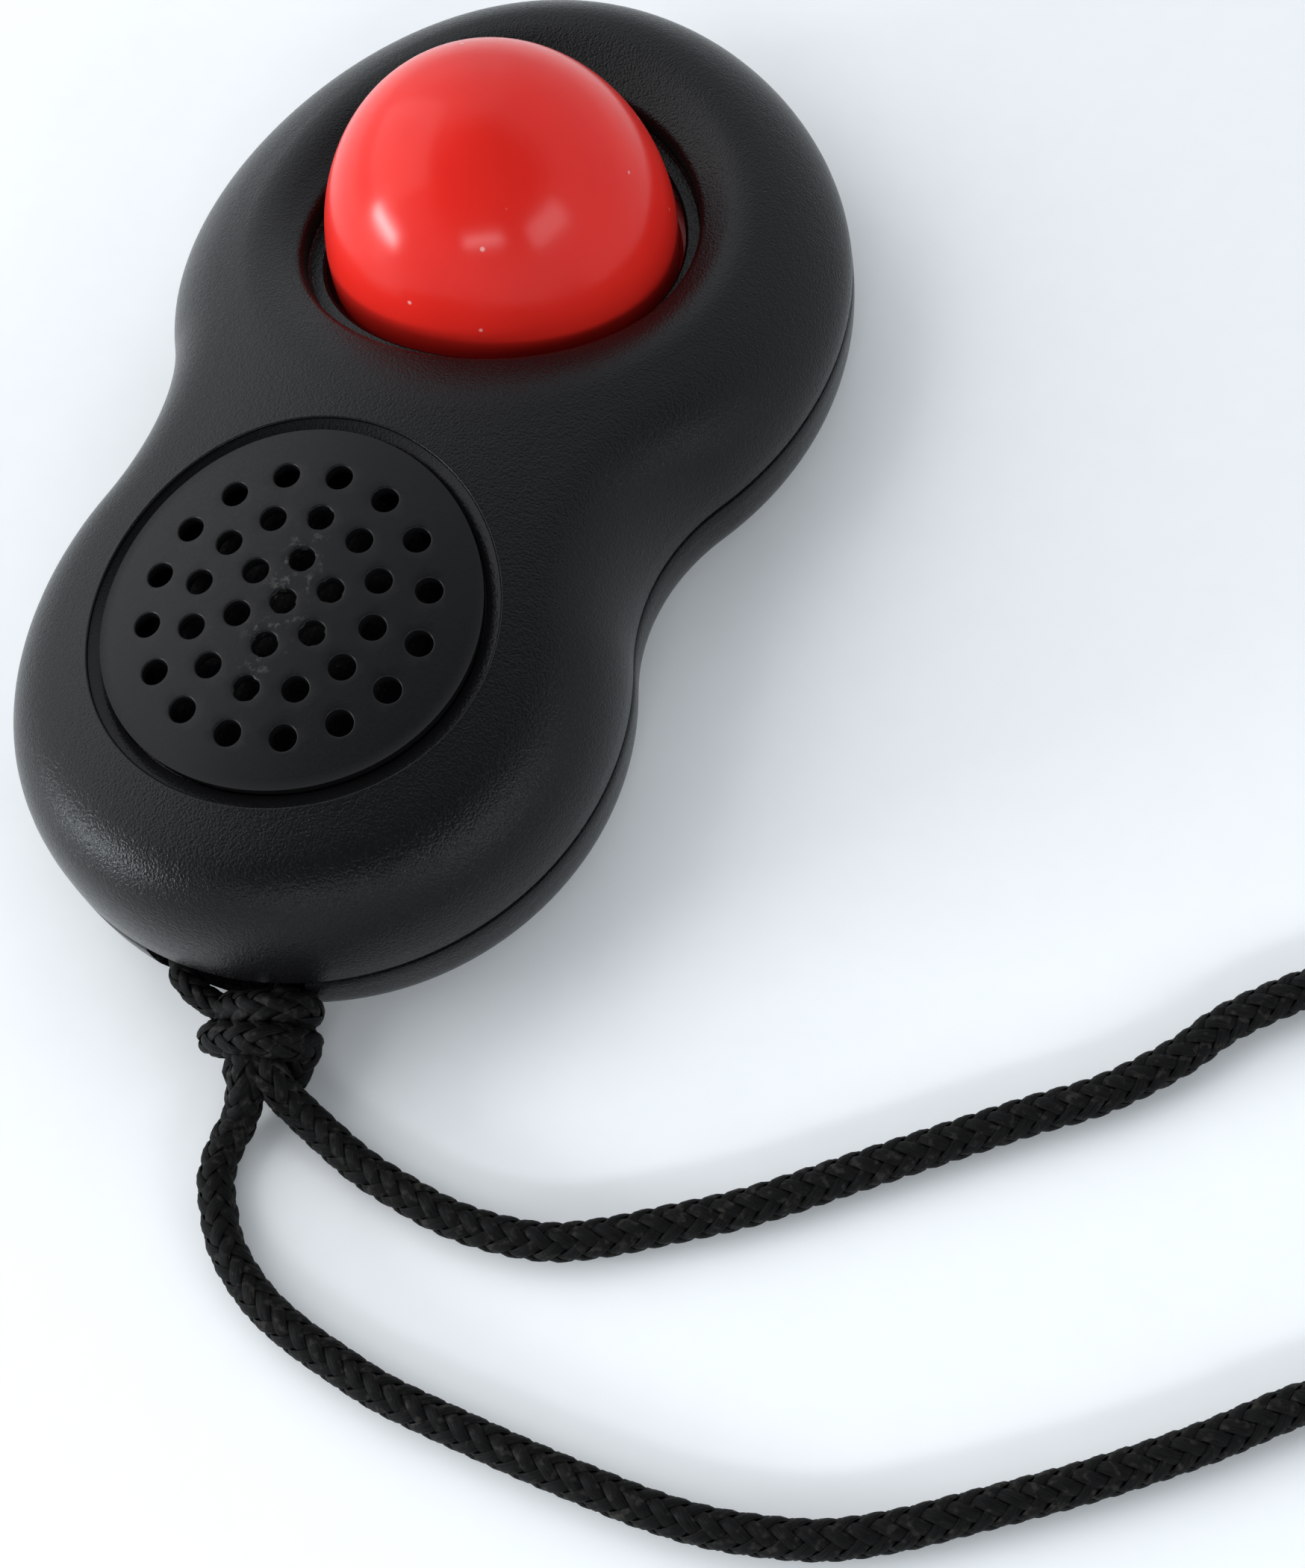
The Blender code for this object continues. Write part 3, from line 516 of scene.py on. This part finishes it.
def add_rings(points, faces, uvs, rings, flat):
    first = sum(len(p) for p in points)
    count, sides = rings.shape[:2]
    points.append(rings.reshape(-1, 3))
    uvs.append(flat.reshape(-1, 2))
    faces += ring_faces(first, sides, count)
    faces.append(tuple(range(first, first + sides)))
    faces.append(tuple(range(first + (count - 1) * sides, first + count * sides)))


def at_height(route, z):
    return [(x, y, z) for x, y in route]


def make_cord():
    fibre = braid_fibre()
    loop_route = [*LOOP_RIGHT_RUN, *at_height(LOOP_ROUTE, LOOP_Z), *LOOP_LEFT_RUN]
    loop = braided("braid_loop", [loop_route], fibre)
    eye_route = [*EYE_LEFT_RUN, *at_height(EYE_ROUTE, EYE_Z), *EYE_RIGHT_RUN]
    eye = braided("braid_eye", [eye_route], fibre, EYE_THICKNESS)
    knot = braided("braid_knot", [KNOT_ROUTE], fibre)
    centres = smooth_route(loop_route, BRAID_STEP) * MM
    for obj, cad in ((loop, "cord_loop"), (eye, "cord_eye"), (knot, "cord_knot")):
        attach(obj, "housing")
        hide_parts(cad)


# ---------------------------------------------------------------- case surfaces

ARC_STEPS = (48, 24, 56)
SPLIT = 63             # outline point where the line between the two lobes starts
WAIST_STEPS = 40


def outline(inset):
    """The case's plan outline, moved inwards by inset, anticlockwise from the near end."""
    span = BUTTON_LOBE_Y - GRILLE_LOBE_Y
    near, far = GRILLE_LOBE_R + WAIST_R, BUTTON_LOBE_R + WAIST_R
    along = (near ** 2 - far ** 2 + span ** 2) / (2 * span)
    waist_x, waist_y = math.sqrt(near ** 2 - along ** 2), GRILLE_LOBE_Y + along
    near_end = math.atan2(along, waist_x)
    far_start = math.atan2(waist_y - BUTTON_LOBE_Y, waist_x)
    arcs = ((0.0, GRILLE_LOBE_Y, GRILLE_LOBE_R - inset, -math.pi / 2, near_end),
            (waist_x, waist_y, WAIST_R + inset, math.pi + near_end, math.pi + far_start),
            (0.0, BUTTON_LOBE_Y, BUTTON_LOBE_R - inset, far_start, math.pi / 2))
    right = []
    for (x, y, radius, first, last), steps in zip(arcs, ARC_STEPS):
        for i in range(steps):
            angle = first + (last - first) * i / steps
            right.append((x + radius * math.cos(angle), y + radius * math.sin(angle)))
    right.append((0.0, BUTTON_LOBE_Y + BUTTON_LOBE_R - inset))
    return np.array(right + [(-x, y) for x, y in reversed(right[1:-1])])


def crown(x, y):
    return CROWN_Z - CROWN_BOW_X * x ** 2 - CROWN_BOW_Y * (y - CROWN_Y) ** 2


def lip(x, y):
    """Height of the well's lip at the point of the lip circle nearest to (x, y)."""
    reach = np.maximum(np.hypot(x, y - WELL_Y), 1e-6)
    return LIP_Z - LIP_TILT * (y - WELL_Y) / reach * WELL_R - LIP_BOW * (x / reach * WELL_R) ** 2


def top_face(x, y):
    """The crown, melting into the dish round the button well."""
    reach = np.hypot(x, y - WELL_Y) - WELL_R
    dish = lip(x, y) + DISH_SLOPE * np.maximum(reach, 0.0)
    high = crown(x, y)
    share = np.clip(0.5 + 0.5 * (dish - high) / DISH_BLEND, 0.0, 1.0)
    return dish * (1 - share) + high * share - DISH_BLEND * share * (1 - share)


def raised(plan, height):
    """Plan points with a height from a function, a number or an array."""
    z = height(plan[:, 0], plan[:, 1]) if callable(height) else np.broadcast_to(height, len(plan))
    return np.column_stack([plan, z])


def edge_share(step, steps):
    """How far inwards and how far up a squarish quarter round has come at a step, each from 0 to 1."""
    angle = math.pi / 2 * step / steps
    return 1 - max(math.cos(angle), 0.0) ** SQUARENESS, math.sin(angle) ** SQUARENESS


def lid_skin(inset, drop, base_z, steps=18):
    """Rings of the rounded side from base_z up to the top face."""
    rings = []
    for step in range(steps + 1):
        inward, upward = edge_share((step / steps) ** 0.8 * steps, steps)
        plan = outline(inset + (TOP_ROLL - inset) * inward)
        top = top_face(plan[:, 0], plan[:, 1]) - drop
        rings.append(raised(plan, base_z + (top - base_z) * upward))
    return rings


def lobe_loop(near):
    """Top-face boundary of one lobe, closed across the waist by a straight line."""
    edge = outline(TOP_ROLL)
    total = len(edge)
    right, left = edge[SPLIT], edge[total - SPLIT]
    line = np.linspace(right, left, WAIST_STEPS + 1)[1:-1]
    if near:
        return np.concatenate([edge[total - SPLIT:], edge[:SPLIT + 1], line])
    return np.concatenate([edge[SPLIT:total - SPLIT + 1], line[::-1]])


def web(loop, centre_y, radius, count, height):
    """Rings from a boundary loop to a circle, each point keeping its direction from the centre."""
    centre = np.array((0.0, centre_y))
    rim = centre + unit(loop - centre) * radius
    return [raised(loop * (1 - share) + rim * share, height) for share in np.linspace(0, 1, count + 1)]


def round_over(ring, centre_y, radius, rounding, slope=0.0, steps=6, end=math.pi / 2):
    """Rings that turn a sloping face down towards a wall of that radius, as far as the end angle."""
    start = math.atan(slope)
    centre = np.array((0.0, centre_y))
    way = unit(ring[:, :2] - centre)
    hub = ring[:, 2] - rounding * math.cos(start)
    rings = []
    for k in range(1, steps + 1):
        angle = start + (end - start) * k / steps
        plan = centre + way * (radius + rounding * (1 - math.sin(angle)))
        rings.append(raised(plan, hub + rounding * math.cos(angle)))
    return rings


def on_circle(loop, centre_y, radius, height):
    centre = np.array((0.0, centre_y))
    return raised(centre + unit(loop - centre) * radius, height)


def lowered(surface, drop):
    return lambda x, y: surface(x, y) - drop


def well_rings(loop):
    """The button well: a rounded lip, a ledge under it and the collar that the button slides in."""
    slope_angle = math.atan(DISH_SLOPE)
    start_r = WELL_R + LIP_ROUND * (1 - math.sin(slope_angle))
    rings = web(loop, WELL_Y, start_r, 30, top_face)
    rings += round_over(rings[-1], WELL_Y, WELL_R, LIP_ROUND, DISH_SLOPE)
    ledge = lowered(lip, LEDGE_DROP)
    soft = 0.25
    for radius, height in ((WELL_R, lowered(lip, LEDGE_DROP - soft)), (WELL_R - soft, ledge),
                           (COLLAR_BORE_R + soft, ledge), (COLLAR_BORE_R, lowered(lip, LEDGE_DROP + soft)),
                           (COLLAR_BORE_R, COLLAR_BOTTOM_Z), (COLLAR_R, COLLAR_BOTTOM_Z)):
        rings.append(on_circle(loop, WELL_Y, radius, height))
    return rings + web(loop, WELL_Y, COLLAR_R, 8, lowered(top_face, WALL))[::-1]


def recess_rings(loop):
    """The recess: a small step, a slope that falls to the disc, and the floor under it."""
    rings = web(loop, GRILLE_Y, RECESS_R + RECESS_ROUND, 20, top_face)
    rings += round_over(rings[-1], GRILLE_Y, RECESS_R, RECESS_ROUND)
    port = SPIGOT_R + GAP
    under = RECESS_DEPTH + RECESS_FLOOR
    soft = 0.1
    for radius, drop in ((RECESS_R, STEP_DEPTH), (RECESS_R - soft, STEP_DEPTH + soft),
                         (SLOPE_R, SLOPE_DEPTH), (SLOPE_R - soft, SLOPE_DEPTH + soft),
                         (SLOPE_R - soft, RECESS_DEPTH), (port + soft, RECESS_DEPTH),
                         (port, RECESS_DEPTH + soft), (port, under), (PAD_R, under)):
        rings.append(on_circle(loop, GRILLE_Y, radius, lowered(crown, drop)))
    return rings + web(loop, GRILLE_Y, PAD_R, 6, lowered(top_face, WALL))[::-1]


def skinned(name, groups, finish):
    """One closed mesh from several groups of rings that share their border points."""
    points, faces = [], []
    for rings in groups:
        first = sum(len(p) for p in points)
        faces += ring_faces(first, len(rings[0]), len(rings))
        points += rings
    return mesh_object(name, np.concatenate(points), faces, finish)


def make_top_shell(finish):
    """The lid, open below, with four screw bosses and the upper seat of the cord's pin."""
    base = PARTING_Z + GAP / 2
    rim_top = base + LAP + GAP
    rim = [raised(outline(inset), z) for inset, z in (
        (WALL, rim_top), (REBATE, rim_top), (REBATE, base), (SOFT_EDGE, base),
        (SOFT_EDGE * 0.3, base + SOFT_EDGE * 0.3), (0.0, base + SOFT_EDGE))]
    outer = [ring for ring in lid_skin(0.0, 0.0, base) if ring[0, 2] > base + SOFT_EDGE]
    inner = [ring for ring in lid_skin(WALL, WALL, base) if ring[0, 2] > rim_top + 0.2]
    shell = skinned("shell_top", [inner[::-1] + rim + outer, recess_rings(lobe_loop(True)),
                                  well_rings(lobe_loop(False))], finish)
    posts = [cylinder(x, y, PARTING_Z + GAP, CROWN_Z, TOP_BOSS_R) for x, y in SCREW_PLACES]
    posts.append(cylinder(PIN_X, PIN_Y, 8.5, CROWN_Z, 3.2))
    within_wall = stacked("tool", lid_skin(WALL / 2, WALL / 2, 6.0))
    combine(shell, [combine(merged(posts), [within_wall], "INTERSECT")], "UNION")
    bores = [cylinder(x, y, PARTING_Z - 1.0, 13.2, SHANK_BORE_R) for x, y in SCREW_PLACES]
    bores.append(cylinder(PIN_X, PIN_Y, 8.0, 11.3, PIN_BORE_R))
    return combine(shell, bores, "DIFFERENCE")


def make_bottom_shell(finish):
    """The tray, lapped at its top, with bosses, clamp posts, spring seats and the cord's slot."""
    top = PARTING_Z - GAP / 2
    steps = 14
    rings = []
    for step in range(steps, -1, -1):
        inward, downward = edge_share(step, steps)
        z = top - top * downward
        if z < top - SOFT_EDGE:
            rings.append(raised(outline(BASE_ROLL * inward), z))
    lap_out, lap_in = REBATE + GAP, WALL + 0.2
    for inset, z in ((0.0, top - SOFT_EDGE), (SOFT_EDGE * 0.3, top - SOFT_EDGE * 0.3), (SOFT_EDGE, top),
                     (lap_out, top), (lap_out, top + LAP), (lap_in, top + LAP), (lap_in, 5.2)):
        rings.append(raised(outline(inset), z))
    for step in range(steps + 1):
        inward, downward = edge_share(step, steps)
        z = top - (top - FLOOR_Z) * downward
        if z < 5.0:
            rings.append(raised(outline(WALL + (BASE_ROLL - WALL * 0.6) * inward), z))
    shell = stacked("shell_bottom", rings, finish)
    posts = [cylinder(x, y, 1.0, PARTING_Z, BASE_BOSS_R) for x, y in SCREW_PLACES]
    posts.append(cylinder(PIN_X, PIN_Y, 1.0, 2.6, 2.6))
    seat = [(3.4, 1.0), (3.4, 2.6), (1.6, 2.6), (1.6, 4.0), (1.4, 4.2)]
    for way in (-1, 1):
        posts.append(cylinder(way * CLAMP_X, CLAMP_Y, 1.0, 6.8, 2.5))
        posts.append(turned("tool", way * SPRING_X, WELL_Y, seat, 32))
    combine(shell, posts, "UNION")
    cuts = [cylinder(PIN_X, PIN_Y, FLOOR_Z, 4.0, PIN_BORE_R)]
    sink = [(SCREW_HEAD_R, -1.0), (SCREW_HEAD_R, -0.02), (SCREW_HEAD_R - 0.2, 0.2), (SCREW_HEAD_R - 0.2, 2.6),
            (SHANK_BORE_R, 2.6), (SHANK_BORE_R, 8.0)]
    cuts += [turned("tool", x, y, sink, 32) for x, y in SCREW_PLACES]
    cuts += [cylinder(way * CLAMP_X, CLAMP_Y, 2.2, 9.0, 1.3) for way in (-1, 1)]
    cuts.append(slot_cutter())
    return combine(shell, cuts, "DIFFERENCE")


def slot_cutter():
    """The cord's slot in the near wall, with rounded lower corners."""
    left, right, back, sill = SLOT
    corner = 1.2
    profile = [(left, 12.0)]
    profile += [(left + corner * (1 - math.cos(a)), sill + corner * (1 - math.sin(a)))
                for a in np.linspace(0, math.pi / 2, 7)]
    profile += [(right - corner * (1 - math.sin(a)), sill + corner * (1 - math.cos(a)))
                for a in np.linspace(0, math.pi / 2, 7)]
    profile.append((right, 12.0))
    return stacked("tool", [np.array([(x, y, z) for x, z in profile]) for y in (-60.0, back)])


# ---------------------------------------------------------------- grille

def hole_places():
    places = []
    for ring, count, first in HOLE_RINGS:
        for i in range(count):
            angle = math.radians(first + 360.0 * i / count)
            reach = ring * HOLE_PITCH
            places.append((reach * math.cos(angle), GRILLE_Y + reach * math.sin(angle)))
    return places


def hole_circle(x, y, radius):
    angles = ring_angles(HOLE_SIDES)
    return np.stack([x + radius * np.cos(angles), y + radius * np.sin(angles)], 1)


def perforated_plan():
    """Points and triangles of the drilled middle of the disc; hole borders come first, then the rim."""
    mouth = HOLE_R + HOLE_ROUND
    holes = np.array(hole_places())
    angles = ring_angles(DISC_SIDES)
    rim = np.stack([SPIGOT_BORE * np.cos(angles), GRILLE_Y + SPIGOT_BORE * np.sin(angles)], 1)
    fixed = np.concatenate([hole_circle(x, y, mouth) for x, y in holes] + [rim])
    row = 0.866 * DISC_SPACING
    reach = range(-20, 21)
    grid = [(DISC_SPACING * (i + 0.5 * (j % 2)), GRILLE_Y + row * j) for j in reach for i in reach]
    margin = 0.3
    inside = []
    for x, y in grid:
        clear = np.hypot(holes[:, 0] - x, holes[:, 1] - y).min() > mouth + margin
        if clear and math.hypot(x, y - GRILLE_Y) < SPIGOT_BORE - margin:
            inside.append((x, y))
    plan = np.concatenate([fixed, np.array(inside)])
    made, _, triangles, *_ = delaunay_2d_cdt([Vector(p) for p in plan], [], [], 0, 1e-6)
    made = np.array([tuple(p) for p in made])
    kept = []
    for triangle in triangles:
        x, y = made[list(triangle)].mean(axis=0)
        if np.hypot(holes[:, 0] - x, holes[:, 1] - y).min() > mouth * 0.995:
            kept.append(tuple(triangle))
    return made, kept


def hole_wall(x, y, burr):
    """Rings of one hole's softened mouth and of the burr below it, which fades out further down."""
    steps = 4
    rings = []
    for step in range(1, steps + 1):
        angle = math.pi / 2 * step / steps
        radius = HOLE_R + HOLE_ROUND * (1 - math.sin(angle)) - burr * step / steps
        rings.append(raised(hole_circle(x, y, radius), lowered(crown, HOLE_ROUND * (1 - math.cos(angle)))))
    rings.append(raised(hole_circle(x, y, HOLE_R - burr * 0.4), lowered(crown, 0.5)))
    rings.append(raised(hole_circle(x, y, HOLE_R), lowered(crown, 0.8)))
    return rings


def make_grille(finish):
    """The perforated disc, with softened hole mouths, a rounded rim and a spigot below."""
    plan, triangles = perforated_plan()
    holes = hole_places()
    under = lowered(crown, RECESS_DEPTH - GAP)
    foot = lowered(crown, SPIGOT_FOOT)
    points = [raised(plan, crown), raised(plan, under)]
    faces = triangles + [tuple(i + len(plan) for i in t[::-1]) for t in triangles]
    for index, (x, y) in enumerate(holes):
        border = slice(index * HOLE_SIDES, (index + 1) * HOLE_SIDES)
        rings = [points[0][border], *hole_wall(x, y, burrs(index, x, y)), points[1][border]]
        first = sum(len(p) for p in points)
        faces += ring_faces(first, HOLE_SIDES, len(rings))
        points.append(np.concatenate(rings))
    rim = plan[len(holes) * HOLE_SIDES:][:DISC_SIDES]
    soft = 0.2
    outer = [on_circle(rim, GRILLE_Y, r, crown) for r in np.linspace(SPIGOT_BORE, GRILLE_R - soft, 6)]
    outer += round_over(outer[-1], GRILLE_Y, GRILLE_R, soft)
    for radius, height in ((GRILLE_R, under), (SPIGOT_R, under), (SPIGOT_R, foot), (SPIGOT_BORE, foot),
                           (SPIGOT_BORE, under)):
        outer.append(on_circle(rim, GRILLE_Y, radius, height))
    first = sum(len(p) for p in points)
    faces += ring_faces(first, DISC_SIDES, len(outer))
    points += outer
    return mesh_object("grille_face", np.concatenate(points), faces, finish)


def burrs(index, x, y):
    """Ragged moulding flash left in the middle holes, as a loss of radius round the hole."""
    if abs(x - FLASH_X) > FLASH_HALF_X or abs(y - GRILLE_Y) > FLASH_HALF_Y:
        return np.zeros(HOLE_SIDES)
    angles = ring_angles(HOLE_SIDES)
    waves = np.sin(3 * angles + index) + np.sin(5 * angles + 2.1 * index) + np.sin(8 * angles + 0.7 * index)
    return FLASH_DEPTH * np.clip(waves / 3 - 0.15, 0.0, 1.0)


# ---------------------------------------------------------------- button

def dome(inset, steps):
    """Half of an ellipse, from the dome's widest circle up to its top."""
    radius = BUTTON_R - inset
    height = BUTTON_TOP_Z - BUTTON_WIDEST_Z - inset
    return [(radius * max(math.cos(a), 0.0), BUTTON_WIDEST_Z + height * math.sin(a))
            for a in np.linspace(0.0, math.pi / 2, steps + 1)]


def make_button(finish):
    """The hollow cap with its flange, plunger post, two spring posts and a notch across the foot."""
    flange_top = BUTTON_FOOT_Z + FLANGE_H
    soft = 0.25
    profile = [(FLANGE_R - soft, BUTTON_FOOT_Z), (FLANGE_R, BUTTON_FOOT_Z + soft),
               (FLANGE_R, flange_top - soft), (FLANGE_R - soft, flange_top),
               (BUTTON_SKIRT_R + soft, flange_top), (BUTTON_SKIRT_R, flange_top + soft),
               (BUTTON_SKIRT_R + 0.1, 10.4), (BUTTON_SKIRT_R + 0.24, 11.8)]
    inside = [(BUTTON_SKIRT_R - BUTTON_WALL, BUTTON_FOOT_Z)] + dome(BUTTON_WALL, 30)
    button = turned("button_cap", 0, WELL_Y, inside[::-1] + profile + dome(0.0, 64), 160, finish)
    posts = [cylinder(0, WELL_Y, PLUNGER_FOOT_Z, BUTTON_TOP_Z - 0.8, PLUNGER_R)]
    posts += [cylinder(way * SPRING_X, WELL_Y, 10.2, 22.2, 1.9) for way in (-1, 1)]
    combine(button, posts, "UNION")
    notch = [np.array([(x, y, z) for x, y in ((-6, 0), (6, 0), (6, 10.3), (-6, 10.3))]) for z in (6.2, 11.4)]
    return combine(button, [stacked("tool", notch)], "DIFFERENCE")


# ---------------------------------------------------------------- pieces and finishes

def make_pieces():
    case = grained_plastic("case_plastic", 5200.0, 0.08 * MM, 0.22)
    disc = grained_plastic("disc_plastic", 5000.0, 0.03 * MM, 0.36, 0.8)
    pieces = ((make_top_shell(case), "housing", "top_shell", "case"),
              (make_bottom_shell(case), "housing", "bottom_shell", "case"),
              (make_grille(disc), "housing", "grille_disc", "grille"),
              (make_button(red_plastic()), "button", "push_button", "button"))
    for obj, body, cad, slot in pieces:
        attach(obj, body)
        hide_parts(cad)


def finish_cad_nodes():
    """Better materials for the CAD pieces that keep their own shape."""
    plate = steel("plate_steel", (0.62, 0.61, 0.58), 0.3, (4000.0, 200.0, 4000.0))
    wire = steel("spring_steel", (0.6, 0.6, 0.6), 0.28, (2500.0, 2500.0, 2500.0))
    screw = steel("screw_steel", (0.66, 0.66, 0.68), 0.3, (2500.0, 2500.0, 300.0))
    felt = fluffy("felt", (0.16, 0.155, 0.14), (0.34, 0.33, 0.3), 1900.0, 0.2 * MM)
    rubber = fluffy("rubber", (0.025, 0.025, 0.025), (0.06, 0.06, 0.06), 2600.0, 0.03 * MM)
    gauze = woven_gauze()
    finishes = {"click_plate": plate, "plate_clamp": plate, "lanyard_pin": screw, "damper_pad": felt,
                "plunger_tip": rubber, "grille_gauze": gauze}
    for name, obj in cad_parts.items():
        if obj.hide_render:
            continue
        chosen = finishes.get(name)
        if chosen is None:
            chosen = wire if name.startswith("return_spring") else screw
        for index in range(len(obj.material_slots)):
            obj.material_slots[index].material = chosen


# ---------------------------------------------------------------- floor and lights

PANEL_DISTANCE = 0.9
DAYLIGHT = (0.9, 0.96, 1.0)
DARK_SIDE = (0.279, -0.371, 0.886)    # the room is dim in this direction from the object


def make_floor():
    """A pale seamless floor with a faint mottle."""
    made, tree, shader = blank("floor_paper")
    fibre = noise(tree, place(tree), 300.0, 3.0)
    set_inputs(tree, shader, {"Base Color": mixed(tree, fibre, (0.92, 0.92, 0.92), (0.95, 0.95, 0.95)),
                              "Roughness": 0.85, "Normal": bump(tree, fibre, 0.1 * MM, 0.1)})
    half, z = 12000.0, -0.02
    corners = [(-half, -half, z), (half, -half, z), (half, half, z), (-half, half, z)]
    mesh_object("floor", corners, [(0, 1, 2, 3)], made)


def panel(name, way, width, height, power, colour=(1.0, 1.0, 1.0)):
    """A rectangular lamp that faces the object from a direction. Sizes are in metres, power in watts."""
    data = bpy.data.lights.new(name, "AREA")
    data.shape = "RECTANGLE"
    data.size, data.size_y = width, height
    data.energy = power
    data.color = colour
    lamp = bpy.data.objects.new(name, data)
    bpy.context.scene.collection.objects.link(lamp)
    way = Vector(way).normalized()
    lamp.location = Vector((0.0, 0.0, 0.012)) + way * PANEL_DISTANCE
    lamp.rotation_euler = way.to_track_quat("Z", "Y").to_euler()


def make_light():
    world = bpy.data.worlds.new("studio")
    bpy.context.scene.world = world
    world.use_nodes = True
    tree = world.node_tree
    way = node(tree, "TexCoord").outputs["Generated"]
    dark = node(tree, "VectorMath", {0: way, 1: DARK_SIDE}, operation="DOT_PRODUCT").outputs["Value"]
    set_inputs(tree, tree.nodes["Background"], {"Color": (0.86, 0.93, 1.0, 1.0),
                                                "Strength": ramp(tree, dark, 0.62, 0.84, 1.0, 0.1)})
    panel("window_left", (-0.80, -0.02, 0.60), 1.0, 0.8, 3.4)
    panel("ceiling_left", (-0.45, 0.61, 0.66), 0.9, 0.9, 0.9)
    panel("window_right", (0.86, -0.30, 0.40), 0.45, 0.22, 1.6, DAYLIGHT)
    panel("near_right", (0.30, -0.80, 0.50), 0.42, 0.09, 1.3, DAYLIGHT)
    panel("near_left", (-0.81, -0.55, 0.21), 0.35, 0.1, 5.0, DAYLIGHT)
    bpy.context.scene.view_settings.view_transform = "Standard"


make_camera()
make_cord()
make_pieces()
finish_cad_nodes()
make_floor()
make_light()
